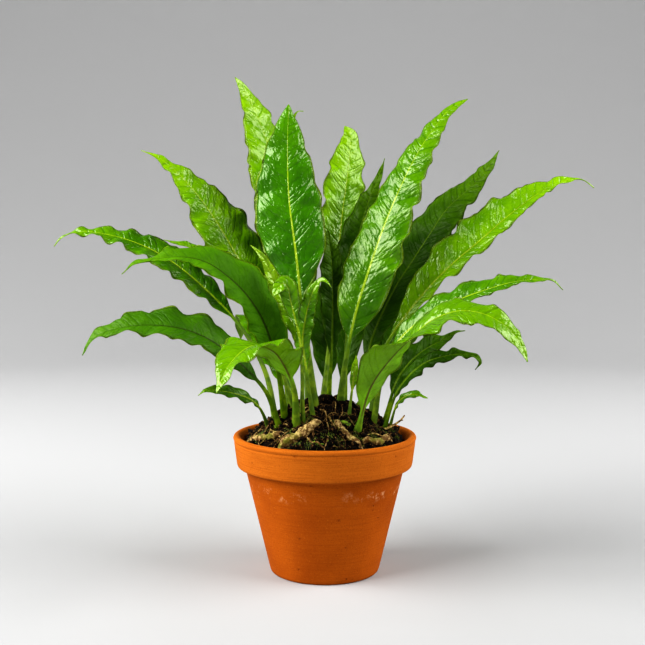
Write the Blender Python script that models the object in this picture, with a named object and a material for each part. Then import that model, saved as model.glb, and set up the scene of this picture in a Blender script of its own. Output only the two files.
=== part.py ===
"""A java fern with long waved fronds, standing in the soil of a plain clay pot.

Metres, +Z up. The origin lies on the pot's axis, on the surface that the pot stands on.
The viewer of the fern stands at -Y, so +X is to the viewer's right.
"""
import math
from dataclasses import dataclass

import bmesh
import bpy
import numpy as np
from mathutils import Matrix, Vector

MM = 0.001

# The clay pot, in millimetres: a straight tapered body under a heavier rim band.
POT_HEIGHT = 106.0
RIM_RADIUS = 70.0
BAND_TOP_RADIUS = 69.4
BAND_FOOT_RADIUS = 67.2
BAND_HEIGHT = 24.5
BODY_TOP_RADIUS = 61.0
BASE_RADIUS = 42.0
WALL = 6.5
FLOOR_THICKNESS = 8.0
FLOOR_FILLET = 3.0
DRAIN_RADIUS = 7.5
POT_STEPS = 48

# The soil: it fills the pot and rises to a mound in the middle.
TOUCH_GAP = 0.3
SOIL_EDGE_HEIGHT = 97.0
MOUND_RISE = 35.0
MOUND_RADIUS = 66.0
SOIL_STEPS = 40
SOIL_RINGS = 9

# The place from which the fern was measured: routes give what is seen from there
# against the upright plane through the pot's axis, with the depth behind that plane.
EYE_ACROSS = -1.7
EYE_HEIGHT = 257.0
EYE_DISTANCE = 800.0

# Stalks stand this deep in the soil, in holes this much wider than they are.
STALK_DEPTH = 11.0
HOLE_GAP = 0.45
HOLE_CUTTER_ABOVE = 16.0

# A blade's thickness at its margin and at its midrib, and the spacing of its sections.
BLADE_THICKNESS = 0.72
RIB_THICKNESS = 1.5
BLADE_STEP = 10.5
STALK_STEP = 22.0
COLUMNS = (-1.0, -0.5, 0.0, 0.5, 1.0)
TIP_HALF_WIDTH = 0.55

CLAY_COLOUR = (0.55, 0.15, 0.03)
EARTH_COLOUR = (0.03, 0.018, 0.01)
BARK_COLOUR = (0.22, 0.13, 0.05)
LEAF_COLOUR = (0.06, 0.26, 0.01)


@dataclass(frozen=True)
class Frond:
    """One frond: a stalk that widens into a long waved blade.

    foot is where the stalk leaves the soil. route lists points of the midrib as
    (across, height, depth). faces gives the way the upper side looks at the foot,
    half way and at the tip. blade is the share of the length where the blade starts,
    widest the share of the blade where it is widest, and point how drawn out its tip is.
    skew widens one half of the blade and narrows the other by that share, and a
    smaller heel makes the blade's lower end rounder.
    """

    name: str
    foot: tuple
    route: tuple
    faces: tuple
    half_width: float
    blade: float = 0.3
    widest: float = 0.45
    point: float = 1.0
    fold: float = 0.12
    wave: float = 2.2
    beats: float = 6.0
    phase: float = 0.0
    stalk: float = 1.9
    skew: float = 0.0
    heel: float = 0.85


FRONDS = (
    Frond("frond_tall_front", (-8, -14), ((-17, 200, -16), (-22, 245, -13), (-27, 285, -6), (-28, 325, 4),
          (-27, 355, 14)), ((0.0, -1.0, 0.1), (-0.1, -1.0, 0.1), (0.1, -1.0, 0.1)),
          half_width=26.0, blade=0.36, widest=0.37, point=0.78, fold=-0.14, wave=2.2, beats=5.0, phase=0.4,
          stalk=2.7, skew=-0.05, heel=1.35),
    Frond("frond_tall_left", (-12, 10), ((-17, 200, 24), (-30, 282, 42), (-43, 326, 56), (-53, 352, 64),
          (-61, 367, 66), (-67, 375, 64)), ((0.35, -1.0, 0.1), (0.62, -0.8, 0.2), (0.7, -0.7, 0.3)),
          half_width=29.0, skew=0.07, fold=-0.12, blade=0.30, widest=0.38, point=0.8, beats=6.0, phase=1.9),
    Frond("frond_upper_left", (-27, 6), ((-32, 160, 12), (-50, 210, 19), (-69, 246, 26), (-86, 274, 31),
          (-103, 296, 35), (-124, 315, 37), (-138, 321, 37)),
          ((0.4, -0.9, 0.1), (0.55, -0.8, 0.25), (0.5, -0.75, 0.45)),
          half_width=24.2, fold=-0.12, blade=0.32, widest=0.38, point=1.4, beats=6.0, phase=2.8, skew=0.18),
    Frond("frond_far_left", (-38, -2), ((-45, 152, 8), (-62, 185, 16), (-85, 211, 22), (-111, 234, 26),
          (-134, 248, 28), (-160, 257, 30), (-185, 260, 30), (-199, 256, 30), (-205, 249, 30)),
          ((0.5, -0.8, 0.2), (0.4, -0.6, 0.7), (0.1, -0.5, 0.9)),
          half_width=15.0, blade=0.34, widest=0.42, point=1.3, beats=8.0, phase=0.9),
    Frond("frond_mid_left", (-30, -15), ((-36, 155, -22), (-46, 190, -29), (-57, 209, -34), (-71, 224, -38),
          (-90, 237, -43), (-108, 241, -46), (-124, 240, -48), (-144, 236, -50), (-154, 228, -50)),
          ((0.5, -0.9, 0.1), (0.4, -0.75, 0.55), (0.15, -0.4, 0.9)),
          half_width=19.0, blade=0.22, widest=0.30, point=1.3, beats=5.0, phase=3.6, stalk=2.2, skew=0.25),
    Frond("frond_left_behind", (-24, -2), ((-37, 165, -2), (-62, 215, -4), (-84, 238, -6), (-106, 250, -8),
          (-122, 254, -9)), ((0.5, -0.8, 0.2), (0.4, -0.6, 0.6), (0.2, -0.4, 0.9)),
          half_width=11.0, blade=0.40, widest=0.45, point=1.1, wave=1.5, beats=5.0, phase=1.2, stalk=1.5),
    Frond("frond_low_left", (-34, -25), ((-45, 138, -33), (-60, 155, -41), (-83, 175, -50), (-104, 185, -55),
          (-128, 189, -58), (-151, 188, -60), (-172, 182, -60), (-180, 175, -60), (-185, 166, -60)),
          ((0.6, -0.7, 0.3), (0.2, -0.6, 0.8), (-0.2, -0.5, 0.85)),
          half_width=16.0, blade=0.22, widest=0.44, point=1.0, wave=1.8, beats=5.0, phase=4.4, skew=0.12),
    Frond("frond_front_left", (-21, -31), ((-23, 137, -37), (-27, 151, -44), (-32, 161, -52), (-38, 169, -62),
          (-50, 174, -80), (-62, 170, -98), (-74, 157, -114), (-83, 137, -125)),
          ((0.15, 1.0, 0.1), (0.05, 0.1, 1.0), (-0.45, -0.75, 0.6)),
          half_width=21.5, blade=0.25, widest=0.43, point=1.0, wave=2.4, beats=5.0, phase=0.7, stalk=2.4),
    Frond("frond_lowest_left", (-43, -13), ((-49, 124, -20), (-57, 132, -27), (-71, 137, -36), (-84, 139, -42),
          (-91, 139, -45), (-97, 135, -47)), ((0.7, -0.5, 0.4), (0.3, -0.6, 0.8), (-0.1, -0.5, 0.9)),
          half_width=6.5, blade=0.22, widest=0.5, point=1.0, wave=1.5, beats=4.0, phase=2.2, stalk=1.5),
    Frond("frond_young_left", (-17, -22), ((-18, 180, -26), (-25, 195, -28), (-31, 209, -30), (-37, 219, -32),
          (-41, 228, -33), (-45, 238, -35), (-51, 245, -38), (-56, 250, -40)),
          ((0.3, -1.0, 0.1), (0.2, -1.0, 0.1), (0.1, -0.9, 0.3)),
          half_width=7.0, blade=0.32, widest=0.32, point=0.75, wave=1.6, beats=5.0, phase=5.2, stalk=1.4),
    Frond("frond_curled_middle", (-16, -30), ((-19, 178, -37), (-23, 196, -39), (-26, 208, -40), (-28, 218, -41),
          (-31, 221, -42), (-35, 218, -44), (-39, 211, -46)), ((0.2, -1.0, 0.1), (0.2, -0.9, 0.3), (-0.3, -0.9, 0.4)),
          half_width=6.8, blade=0.45, widest=0.72, point=0.8, wave=1.2, beats=3.0, phase=1.0, stalk=1.3),
    Frond("frond_young_middle", (-9, -26), ((-15, 160, -29), (-17, 178, -31), (-15, 193, -33), (-12, 206, -34), (-8, 217, -35),
          (-3, 223, -36), (1, 223, -38), (5, 218, -40)),
          ((0.3, -0.9, 0.1), (0.4, -0.9, 0.2), (0.1, -0.6, 0.8)),
          half_width=6.8, blade=0.30, widest=0.42, point=1.0, wave=1.9, beats=6.0, phase=0.2, stalk=1.5),
    Frond("frond_dark_middle", (3, 2), ((5, 165, 4), (6, 205, 6), (5, 240, 10), (2, 262, 14)),
          ((0.2, -1.0, 0.1), (0.4, -0.9, 0.2), (0.2, -0.9, 0.3)),
          half_width=11.0, blade=0.25, widest=0.5, point=0.9, wave=1.6, beats=5.0, phase=1.4, stalk=1.6),
    Frond("frond_small_middle", (18, -24), ((21, 140, -26), (23, 156, -27), (24, 166, -27)),
          ((0.5, -0.8, 0.1), (0.4, -0.9, 0.2), (0.2, -0.8, 0.4)),
          half_width=3.2, blade=0.4, widest=0.5, point=0.9, wave=0.5, beats=2.0, phase=1.4, stalk=1.2),
    Frond("frond_back_middle", (-1, 18), ((6, 200, 42), (13, 272, 62), (17, 302, 70), (19, 321, 76),
          (19, 333, 79), (15, 339, 80)), ((0.3, -1.0, 0.1), (0.58, -0.8, 0.2), (0.4, -0.9, 0.3)),
          half_width=18.5, fold=-0.12, blade=0.34, widest=0.56, point=0.65, wave=1.8, beats=7.0, phase=2.5),
    Frond("frond_back_right", (15, 14), ((18, 200, 26), (24, 250, 38), (34, 286, 48), (41, 302, 52),
          (45, 315, 54)), ((0.1, -1.0, 0.1), (-0.1, -1.0, 0.2), (-0.2, -0.9, 0.4)),
          half_width=15.5, fold=-0.12, blade=0.22, widest=0.46, point=1.35, wave=2.0, beats=6.0, phase=5.5),
    Frond("frond_tall_right", (12, -5), ((16, 162, -10), (24, 200, -10), (38, 245, -4), (47, 270, 2),
          (60, 300, 12), (71, 321, 20), (81, 336, 28), (91, 349, 33), (99, 355, 35), (107, 359, 35)),
          ((0.3, -1.0, 0.1), (-0.45, -0.85, 0.25), (-0.5, -0.7, 0.5)),
          half_width=21.0, fold=-0.12, blade=0.19, widest=0.28, point=0.72, wave=2.4, beats=8.0,
          phase=3.1, stalk=2.4, heel=1.4),
    Frond("frond_upper_right", (29, 16), ((35, 175, 32), (53, 217, 50), (65, 236, 60), (78, 256, 68),
          (92, 277, 76), (108, 292, 82), (121, 306, 85), (131, 321, 86)),
          ((-0.4, -0.9, 0.1), (-0.5, -0.75, 0.4), (-0.6, -0.6, 0.5)),
          half_width=21.5, fold=-0.12, blade=0.15, widest=0.52, point=0.95, beats=7.0, phase=0.1, skew=-0.12, heel=0.65),
    Frond("frond_far_right", (36, 4), ((42, 163, 8), (53, 184, 11), (66, 202, 13), (80, 219, 15), (97, 236, 17),
          (118, 254, 20), (141, 274, 24), (163, 290, 29), (181, 298, 33), (194, 299, 36), (203, 293, 38)),
          ((-0.5, -0.8, 0.2), (-0.55, -0.75, 0.35), (-0.2, -0.6, 0.8)),
          half_width=17.0, blade=0.22, widest=0.50, point=1.6, beats=8.0, phase=1.7, skew=-0.38),
    Frond("frond_mid_right", (37, -14), ((44, 150, -18), (59, 180, -24), (80, 197, -30), (103, 209, -35),
          (125, 217, -38), (143, 222, -40), (162, 224, -41), (173, 223, -41), (181, 216, -41)),
          ((-0.4, -0.8, 0.3), (-0.15, -0.6, 0.85), (0.2, -0.5, 0.9)),
          half_width=11.8, blade=0.28, widest=0.42, point=1.2, skew=-0.18, wave=1.2, beats=5.0, phase=4.0),
    Frond("frond_front_right", (24, -36), ((35, 142, -42), (51, 165, -50), (67, 181, -58), (84, 194, -64),
          (102, 200, -70), (120, 198, -76), (137, 189, -82), (149, 175, -87), (155, 161, -90)),
          ((-0.9, 2.7, 0.3), (-0.2, -0.35, 1.0), (0.3, -0.75, 0.6)),
          half_width=20.0, blade=0.06, widest=0.36, point=0.8, wave=2.4, beats=5.0, phase=2.0, stalk=2.4,
          skew=0.2, heel=1.9),
    Frond("frond_shaded_right", (46, 8), ((57, 150, 4), (73, 168, 0), (92, 179, -2), (101, 184, -4),
          (107, 185, -5)), ((-0.6, -0.6, 0.3), (-0.3, -0.7, 0.6), (0.1, -0.7, 0.7)),
          half_width=12.0, blade=0.24, widest=0.42, point=1.5, wave=2.0, beats=4.5, phase=2.4, stalk=1.6),
    Frond("frond_low_right", (45, -14), ((55, 137, -20), (66, 152, -25), (78, 161, -29), (90, 165, -32),
          (103, 167, -34), (113, 166, -35), (119, 161, -35), (115, 155, -35)),
          ((-0.6, -0.6, 0.4), (-0.3, -0.7, 0.6), (0.1, -0.6, 0.8)),
          half_width=6.4, blade=0.22, widest=0.42, point=1.0, wave=1.8, beats=6.0, phase=0.8, stalk=1.5),
    Frond("frond_lowest_right", (50, 2), ((55, 127, -2), (61, 134, -6), (69, 136, -9), (79, 133, -12)),
          ((-0.6, -0.5, 0.5), (-0.2, -0.6, 0.8), (0.1, -0.6, 0.8)),
          half_width=3.9, blade=0.3, widest=0.5, point=0.8, wave=1.2, beats=3.0, phase=0.8, stalk=1.2),
    Frond("frond_rear_left", (-20, 34), ((-34, 155, 58), (-46, 182, 80), (-56, 196, 100), (-62, 192, 116),
          (-64, 178, 126)), ((0.3, -0.9, 0.2), (0.3, -0.8, 0.5), (-0.3, 0.4, 0.9)),
          half_width=17.0, blade=0.14, widest=0.5, point=1.0, beats=6.0, phase=0.5),
    Frond("frond_rear_middle", (2, 38), ((2, 165, 58), (4, 200, 80), (8, 214, 100), (12, 208, 116),
          (14, 194, 124)), ((0.0, -1.0, 0.2), (0.0, -0.8, 0.5), (0.1, 0.5, 0.9)),
          half_width=18.0, blade=0.14, widest=0.5, point=1.0, beats=6.0, phase=2.9),
    Frond("frond_rear_right", (24, 32), ((38, 150, 56), (52, 176, 76), (66, 188, 98), (76, 184, 116),
          (82, 170, 126)), ((-0.3, -0.9, 0.2), (-0.3, -0.8, 0.5), (0.3, 0.4, 0.9)),
          half_width=17.0, blade=0.14, widest=0.5, point=1.0, beats=6.0, phase=4.9),
    Frond("frond_rear_tall", (-13, 26), ((-18, 195, 56), (-21, 250, 72), (-23, 300, 84), (-24, 334, 88), (-23, 346, 88),
          (-20, 350, 88), (-16, 350, 88)), ((0.0, -1.0, 0.2), (0.1, -0.9, 0.3), (0.2, -0.9, 0.3)),
          half_width=16.0, blade=0.12, widest=0.5, point=1.4, beats=6.0, phase=0.8),
    Frond("frond_rear_upright", (12, 28), ((20, 185, 56), (30, 218, 76), (38, 240, 94), (45, 246, 108),
          (50, 240, 118)), ((-0.1, -1.0, 0.2), (-0.2, -0.6, 0.7), (0.2, 0.3, 1.0)),
          half_width=16.0, blade=0.10, widest=0.5, point=0.9, beats=5.0, phase=3.8),
)

# Rhizomes: knotty stems that lie half sunk in the soil. Each is a list of places on
# the mound, with its radius; both ends go down into the soil.
RHIZOMES = {
    "rhizome_front": (4.0, ((-7, -37), (-14, -42), (-21, -45), (-27, -45))),
    "rhizome_middle": (2.6, ((9, -35), (12, -40), (17, -45), (23, -48))),
    "rhizome_right": (2.8, ((31, -42), (36, -41), (40, -38), (46, -28))),
    "rhizome_left": (2.6, ((-53, -19), (-48, -26), (-41, -32), (-32, -36))),
    "rhizome_rear": (3.0, ((-34, 40), (-22, 46), (-8, 50), (4, 48))),
}
RHIZOME_STEP = 3.5
RHIZOME_SIDES = 8


def mound_height(x, y):
    """Height of the soil's surface over the floor, in millimetres."""
    reach = min(math.hypot(x, y) / MOUND_RADIUS, 1.0)
    return SOIL_EDGE_HEIGHT + MOUND_RISE * math.cos(0.5 * math.pi * reach)


def in_space(across, height, depth):
    """Take the perspective out of a measured point and return its real place."""
    stretch = 1.0 + depth / EYE_DISTANCE
    return np.array((
        EYE_ACROSS + (across - EYE_ACROSS) * stretch,
        depth,
        EYE_HEIGHT + (height - EYE_HEIGHT) * stretch,
    ))


def unit(vector):
    """The vector at length one."""
    return vector / max(np.linalg.norm(vector), 1e-9)


def smooth_route(points, per_span=24):
    """Read a Catmull-Rom curve through the points, as an array of close points."""
    points = [np.asarray(p, float) for p in points]
    ends = [2 * points[0] - points[1]] + points + [2 * points[-1] - points[-2]]
    curve = []
    for before, start, end, after in zip(ends, ends[1:], ends[2:], ends[3:]):
        t_start = np.linalg.norm(start - before) ** 0.5
        t_end = t_start + np.linalg.norm(end - start) ** 0.5
        t_after = t_end + np.linalg.norm(after - end) ** 0.5
        for step in range(per_span):
            t = t_start + (t_end - t_start) * step / per_span
            a1 = before + (start - before) * t / t_start
            a2 = start + (end - start) * (t - t_start) / (t_end - t_start)
            a3 = end + (after - end) * (t - t_end) / (t_after - t_end)
            b1 = a1 + (a2 - a1) * t / t_end
            b2 = a2 + (a3 - a2) * (t - t_start) / (t_after - t_start)
            curve.append(b1 + (b2 - b1) * (t - t_start) / (t_end - t_start))
    curve.append(points[-1])
    return np.array(curve)


class Route:
    """A smooth curve that is read by the length along it."""

    def __init__(self, points):
        self.curve = smooth_route(points)
        steps = np.linalg.norm(np.diff(self.curve, axis=0), axis=1)
        self.along = np.concatenate(([0.0], np.cumsum(steps)))
        self.length = float(self.along[-1])

    def at(self, distance):
        """The curve's point at a distance from its start."""
        return np.array([np.interp(distance, self.along, self.curve[:, i]) for i in range(3)])

    def heading(self, distance, reach=2.0):
        """The curve's direction at a distance from its start."""
        return unit(self.at(min(distance + reach, self.length)) - self.at(max(distance - reach, 0.0)))


def frond_route(frond):
    """The midrib's curve, from the soil's surface to the tip."""
    x, y = frond.foot
    foot = np.array((x, y, mound_height(x, y)), float)
    return Route([foot] + [in_space(*point) for point in frond.route])


def facing(frond, share):
    """The way the frond's upper side looks at a share of its length."""
    foot, middle, tip = (np.array(face, float) for face in frond.faces)
    if share < 0.5:
        return foot + (middle - foot) * share * 2.0
    return middle + (tip - middle) * (share - 0.5) * 2.0


def blade_share(frond, share):
    """How far along the blade a share of the whole length lies."""
    return (share - frond.blade) / (1.0 - frond.blade)


def half_width(frond, share):
    """Half the frond's width at a share of its length."""
    stalk = frond.stalk * (1.0 - 0.25 * min(share / frond.blade, 1.0))
    along = blade_share(frond, share)
    if along <= 0.0:
        return stalk
    turn = min(along, 1.0) ** (math.log(0.5) / math.log(frond.widest))
    power = frond.heel if turn < 0.5 else frond.point
    outline = frond.half_width * math.sin(math.pi * turn) ** power
    fade = max(0.0, 1.0 - along * 3.0)
    return max(outline, stalk * fade, TIP_HALF_WIDTH)


def side_share(frond, share, column):
    """How much of the even half width this side of the blade has."""
    along = min(max(blade_share(frond, share) * 4.0, 0.0), 1.0)
    return 1.0 + frond.skew * along * (1.0 if column > 0.0 else -1.0)


def lift(frond, share, column):
    """How far a place on the blade stands out towards the upper side."""
    along = blade_share(frond, share)
    if along <= 0.0:
        return 0.0
    fade = min(along * 5.0, 1.0) * min((1.0 - along) * 4.0, 1.0)
    beat = 2.0 * math.pi * frond.beats * along + frond.phase
    if column < 0.0:
        swing = math.sin(beat) + 0.5 * math.sin(1.7 * beat + 1.0)
    else:
        swing = math.sin(1.13 * beat + 2.1) + 0.5 * math.sin(1.6 * beat)
    rise = frond.fold * abs(column) * half_width(frond, share)
    return rise + fade * frond.wave * swing * abs(column) ** 1.6


def half_thickness(frond, share, column):
    """Half the frond's thickness at a place."""
    along = blade_share(frond, share)
    round_stalk = 0.36 + (0.8 * frond.stalk - 0.36) * math.sqrt(max(0.0, 1.0 - column * column))
    rib = RIB_THICKNESS if abs(column) < 0.25 else BLADE_THICKNESS
    thin_blade = 0.5 * (BLADE_THICKNESS + (rib - BLADE_THICKNESS) * (1.0 - min(max(along, 0.0), 1.0)))
    blend = min(max(along * 5.0 + 0.4, 0.0), 1.0)
    return round_stalk + (thin_blade - round_stalk) * blend


def frond_stations(frond, length):
    """Distances along the route at which the frond's sections lie."""
    start = frond.blade * length
    stalk_steps = max(2, round(start / STALK_STEP))
    blade_steps = max(5, round((length - start) / BLADE_STEP))
    stalk = [start * step / stalk_steps for step in range(1, stalk_steps)]
    blade = [start + (length - start) * step / blade_steps for step in range(blade_steps + 1)]
    return [-STALK_DEPTH, 0.5] + stalk + blade


def frond_section(frond, route, distance):
    """One section of the frond: its upper points and its lower points."""
    share = max(distance, 0.0) / route.length
    heading = route.heading(max(distance, 0.0))
    place = route.at(max(distance, 0.0)) + heading * min(distance, 0.0)
    face = facing(frond, share)
    up = unit(face - heading * face.dot(heading))
    side = np.cross(heading, up)
    upper, lower = [], []
    for column in COLUMNS:
        reach = column * half_width(frond, share) * side_share(frond, share, column)
        middle = place + side * reach + up * lift(frond, share, column)
        thick = half_thickness(frond, share, column)
        upper.append(middle + up * thick)
        lower.append(middle - up * thick)
    return upper, lower


def frond_mesh(frond):
    """The whole frond as one closed body."""
    route = frond_route(frond)
    body = bmesh.new()
    sections = []
    for distance in frond_stations(frond, route.length):
        upper, lower = frond_section(frond, route, distance)
        ring = [body.verts.new(Vector(p * MM)) for p in upper + lower[::-1]]
        sections.append(ring)
    last = len(COLUMNS) - 1
    for ring, following in zip(sections, sections[1:]):
        for i in range(len(ring)):
            j = (i + 1) % len(ring)
            outer_first = i < last / 2 or last < i <= 1.5 * last
            if outer_first:
                body.faces.new((ring[i], ring[j], following[j]))
                body.faces.new((ring[i], following[j], following[i]))
            else:
                body.faces.new((ring[i], ring[j], following[i]))
                body.faces.new((ring[j], following[j], following[i]))
    for ring, turned in ((sections[0], True), (sections[-1], False)):
        for i in range(last):
            quad = (ring[i], ring[i + 1], ring[-2 - i], ring[-1 - i])
            body.faces.new(quad[::-1] if turned else quad)
    bmesh.ops.triangulate(body, faces=[f for f in body.faces if len(f.verts) > 3])
    bmesh.ops.recalc_face_normals(body, faces=body.faces)
    return body


def tube_mesh(points, radius_at, sides, overrun=0.0):
    """A closed round tube through the points, which may run on a little past both ends."""
    route = Route(points)
    steps = max(4, round(route.length / RHIZOME_STEP))
    body = bmesh.new()
    rings = []
    for step in range(steps + 1):
        distance = route.length * step / steps
        heading = route.heading(distance)
        past_end = overrun * ((step == steps) - (step == 0))
        place = route.at(distance) + heading * past_end
        side = unit(np.cross(heading, (0.0, 0.3, 1.0)))
        up = np.cross(side, heading)
        radius = radius_at(step / steps)
        ring = []
        for turn in range(sides):
            angle = 2.0 * math.pi * turn / sides
            out = side * math.cos(angle) + up * math.sin(angle)
            ring.append(body.verts.new(Vector((place + out * radius) * MM)))
        rings.append(ring)
    for ring, following in zip(rings, rings[1:]):
        for i in range(sides):
            j = (i + 1) % sides
            body.faces.new((ring[i], ring[j], following[j], following[i]))
    body.faces.new(rings[0][::-1])
    body.faces.new(rings[-1])
    bmesh.ops.triangulate(body, faces=body.faces)
    bmesh.ops.recalc_face_normals(body, faces=body.faces)
    return body


def rhizome_points(radius, places):
    """A rhizome's middle line: it lies on the soil and dips into it at both ends."""
    points = [(x, y, mound_height(x, y) + 0.25 * radius) for x, y in places]
    first, last = np.array(points[0]), np.array(points[-1])
    dive_first = first + unit(first - points[1]) * 1.9 * radius + (0.0, 0.0, -1.7 * radius)
    dive_last = last + unit(last - points[-2]) * 1.9 * radius + (0.0, 0.0, -1.7 * radius)
    return [dive_first] + points + [dive_last]


def knots(radius, extra):
    """The knotty radius of a rhizome, as a function of the share of its length."""
    def radius_at(share):
        swelling = 1.0 + 0.10 * math.sin(19.0 * share) + 0.06 * math.sin(41.0 * share + 1.0)
        return radius * swelling * (0.75 + 0.25 * math.sin(math.pi * share)) + extra
    return radius_at


def turned_mesh(profile, steps):
    """Spin a profile of (radius, height) points, closed on itself, about Z."""
    body = bmesh.new()
    verts = [body.verts.new(Vector((radius * MM, 0.0, height * MM))) for radius, height in profile]
    edges = [body.edges.new((a, b)) for a, b in zip(verts, verts[1:] + verts[:1])]
    bmesh.ops.spin(body, geom=verts + edges, cent=(0, 0, 0), axis=(0, 0, 1), angle=2.0 * math.pi,
                   steps=steps, use_merge=True, use_duplicate=False)
    bmesh.ops.remove_doubles(body, verts=body.verts, dist=1e-6)
    bmesh.ops.triangulate(body, faces=body.faces)
    bmesh.ops.recalc_face_normals(body, faces=body.faces)
    return body


def wall_inside(height):
    """The pot's inner radius at a height: the body's taper less the wall, wider in the band."""
    band_foot = POT_HEIGHT - BAND_HEIGHT
    body = BASE_RADIUS + (BODY_TOP_RADIUS - BASE_RADIUS) * height / band_foot
    band = BAND_FOOT_RADIUS + (BAND_TOP_RADIUS - BAND_FOOT_RADIUS) * (height - band_foot) / BAND_HEIGHT
    if height <= band_foot - 2.0:
        return body - WALL
    share = min((height - band_foot + 2.0) / 8.0, 1.0)
    return (body - WALL) + (band - WALL - (body - WALL)) * share


def pot_profile():
    """The pot's section, from the drain hole round the outside and down the inside."""
    top, foot = POT_HEIGHT, POT_HEIGHT - BAND_HEIGHT
    outside = [
        (DRAIN_RADIUS, 0.0), (BASE_RADIUS - 1.2, 0.0), (BASE_RADIUS, 1.4),
        (BODY_TOP_RADIUS - 0.4, foot - 2.2), (BODY_TOP_RADIUS + 0.6, foot - 0.6),
        (BAND_FOOT_RADIUS - 2.2, foot), (BAND_FOOT_RADIUS - 0.6, foot + 0.7), (BAND_FOOT_RADIUS, foot + 2.2),
        (BAND_TOP_RADIUS, top - 5.0), (BAND_TOP_RADIUS - 0.2, top - 4.2), (RIM_RADIUS - 0.1, top - 3.2),
        (RIM_RADIUS, top - 2.0), (RIM_RADIUS - 0.7, top - 0.7), (RIM_RADIUS - 2.2, top),
        (RIM_RADIUS - 4.2, top - 0.2), (RIM_RADIUS - 5.8, top - 1.6),
    ]
    inside_heights = (top - 6.0, foot + 6.0, foot - 2.0, FLOOR_THICKNESS + FLOOR_FILLET)
    inside = [(wall_inside(height), height) for height in inside_heights]
    floor = [(wall_inside(FLOOR_THICKNESS) - FLOOR_FILLET, FLOOR_THICKNESS), (DRAIN_RADIUS, FLOOR_THICKNESS)]
    return outside + inside + floor


def soil_radius(height):
    """The soil's radius where it lies against the pot's wall."""
    return (wall_inside(height) - TOUCH_GAP) * math.cos(math.pi / POT_STEPS) - TOUCH_GAP


def soil_mesh():
    """The soil as one closed body, before its holes are made."""
    foot = POT_HEIGHT - BAND_HEIGHT
    shoulder = SOIL_EDGE_HEIGHT - 1.0
    corner = FLOOR_THICKNESS + FLOOR_FILLET + 2.0 * TOUCH_GAP
    heights = (corner, foot - 2.0 - TOUCH_GAP, foot + 6.0 - TOUCH_GAP, shoulder)
    rings = [(soil_radius(corner) - FLOOR_FILLET - 1.0, FLOOR_THICKNESS + TOUCH_GAP)]
    rings += [(soil_radius(height), height) for height in heights]
    edge = soil_radius(shoulder) - 2.0
    for ring in range(SOIL_RINGS):
        radius = edge * (1.0 - ring / SOIL_RINGS)
        rings.append((radius, None))
    body = bmesh.new()
    loops = []
    for radius, height in rings:
        loop = []
        for turn in range(SOIL_STEPS):
            angle = 2.0 * math.pi * turn / SOIL_STEPS
            x, y = radius * math.cos(angle), radius * math.sin(angle)
            z = height if height is not None else mound_height(x, y) + soil_lumps(x, y)
            loop.append(body.verts.new(Vector((x, y, z)) * MM))
        loops.append(loop)
    for lower, upper in zip(loops, loops[1:]):
        for i in range(SOIL_STEPS):
            j = (i + 1) % SOIL_STEPS
            body.faces.new((lower[i], lower[j], upper[j], upper[i]))
    body.faces.new(loops[0][::-1])
    crown = body.verts.new(Vector((0.0, 0.0, mound_height(0, 0) + soil_lumps(0, 0))) * MM)
    for i in range(SOIL_STEPS):
        body.faces.new((loops[-1][i], loops[-1][(i + 1) % SOIL_STEPS], crown))
    bmesh.ops.triangulate(body, faces=body.faces)
    bmesh.ops.recalc_face_normals(body, faces=body.faces)
    return body


def soil_lumps(x, y):
    """Low lumps on the mound's surface."""
    return 0.9 * math.sin(x * 0.31 + 1.0) * math.cos(y * 0.27) + 0.6 * math.sin(x * 0.13 - y * 0.41)


def stalk_hole_mesh(frond):
    """A plain round cutter along the part of the stalk that stands in the soil."""
    route = frond_route(frond)
    heading = route.heading(0.0)
    below = STALK_DEPTH + HOLE_GAP
    middle = route.at(0.0) + heading * (HOLE_CUTTER_ABOVE - below) * 0.5
    radius = frond.stalk * 1.06 + HOLE_GAP
    turn = Vector((0, 0, 1)).rotation_difference(Vector(heading)).to_matrix().to_4x4()
    body = bmesh.new()
    bmesh.ops.create_cone(body, cap_ends=True, segments=10, radius1=radius * MM, radius2=radius * MM,
                          depth=(HOLE_CUTTER_ABOVE + below) * MM,
                          matrix=Matrix.Translation(Vector(middle * MM)) @ turn)
    return body


def material(name, colour, roughness):
    """A plain material of one colour."""
    finish = bpy.data.materials.new(name)
    finish.use_nodes = True
    shader = finish.node_tree.nodes["Principled BSDF"]
    shader.inputs["Base Color"].default_value = (*colour, 1.0)
    shader.inputs["Roughness"].default_value = roughness
    shader.inputs["Metallic"].default_value = 0.0
    return finish


def add_object(name, body, finish, smooth_angle=None):
    """Put a finished mesh into the scene under its own name."""
    mesh = bpy.data.meshes.new(name)
    body.to_mesh(mesh)
    body.free()
    mesh.materials.append(finish)
    if smooth_angle is not None:
        mesh.shade_smooth()
        mesh.set_sharp_from_angle(angle=smooth_angle)
    thing = bpy.data.objects.new(name, mesh)
    bpy.context.scene.collection.objects.link(thing)
    return thing


def add_cutter(name, body, collection):
    """Put a cutting shape into the cutters' collection."""
    mesh = bpy.data.meshes.new(name)
    body.to_mesh(mesh)
    body.free()
    thing = bpy.data.objects.new(name, mesh)
    thing.hide_render = True
    thing.display_type = "WIRE"
    collection.objects.link(thing)
    return thing


def build_pot():
    """The clay pot."""
    finish = material("clay", CLAY_COLOUR, 0.8)
    return add_object("pot", turned_mesh(pot_profile(), POT_STEPS), finish, math.radians(35))


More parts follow.
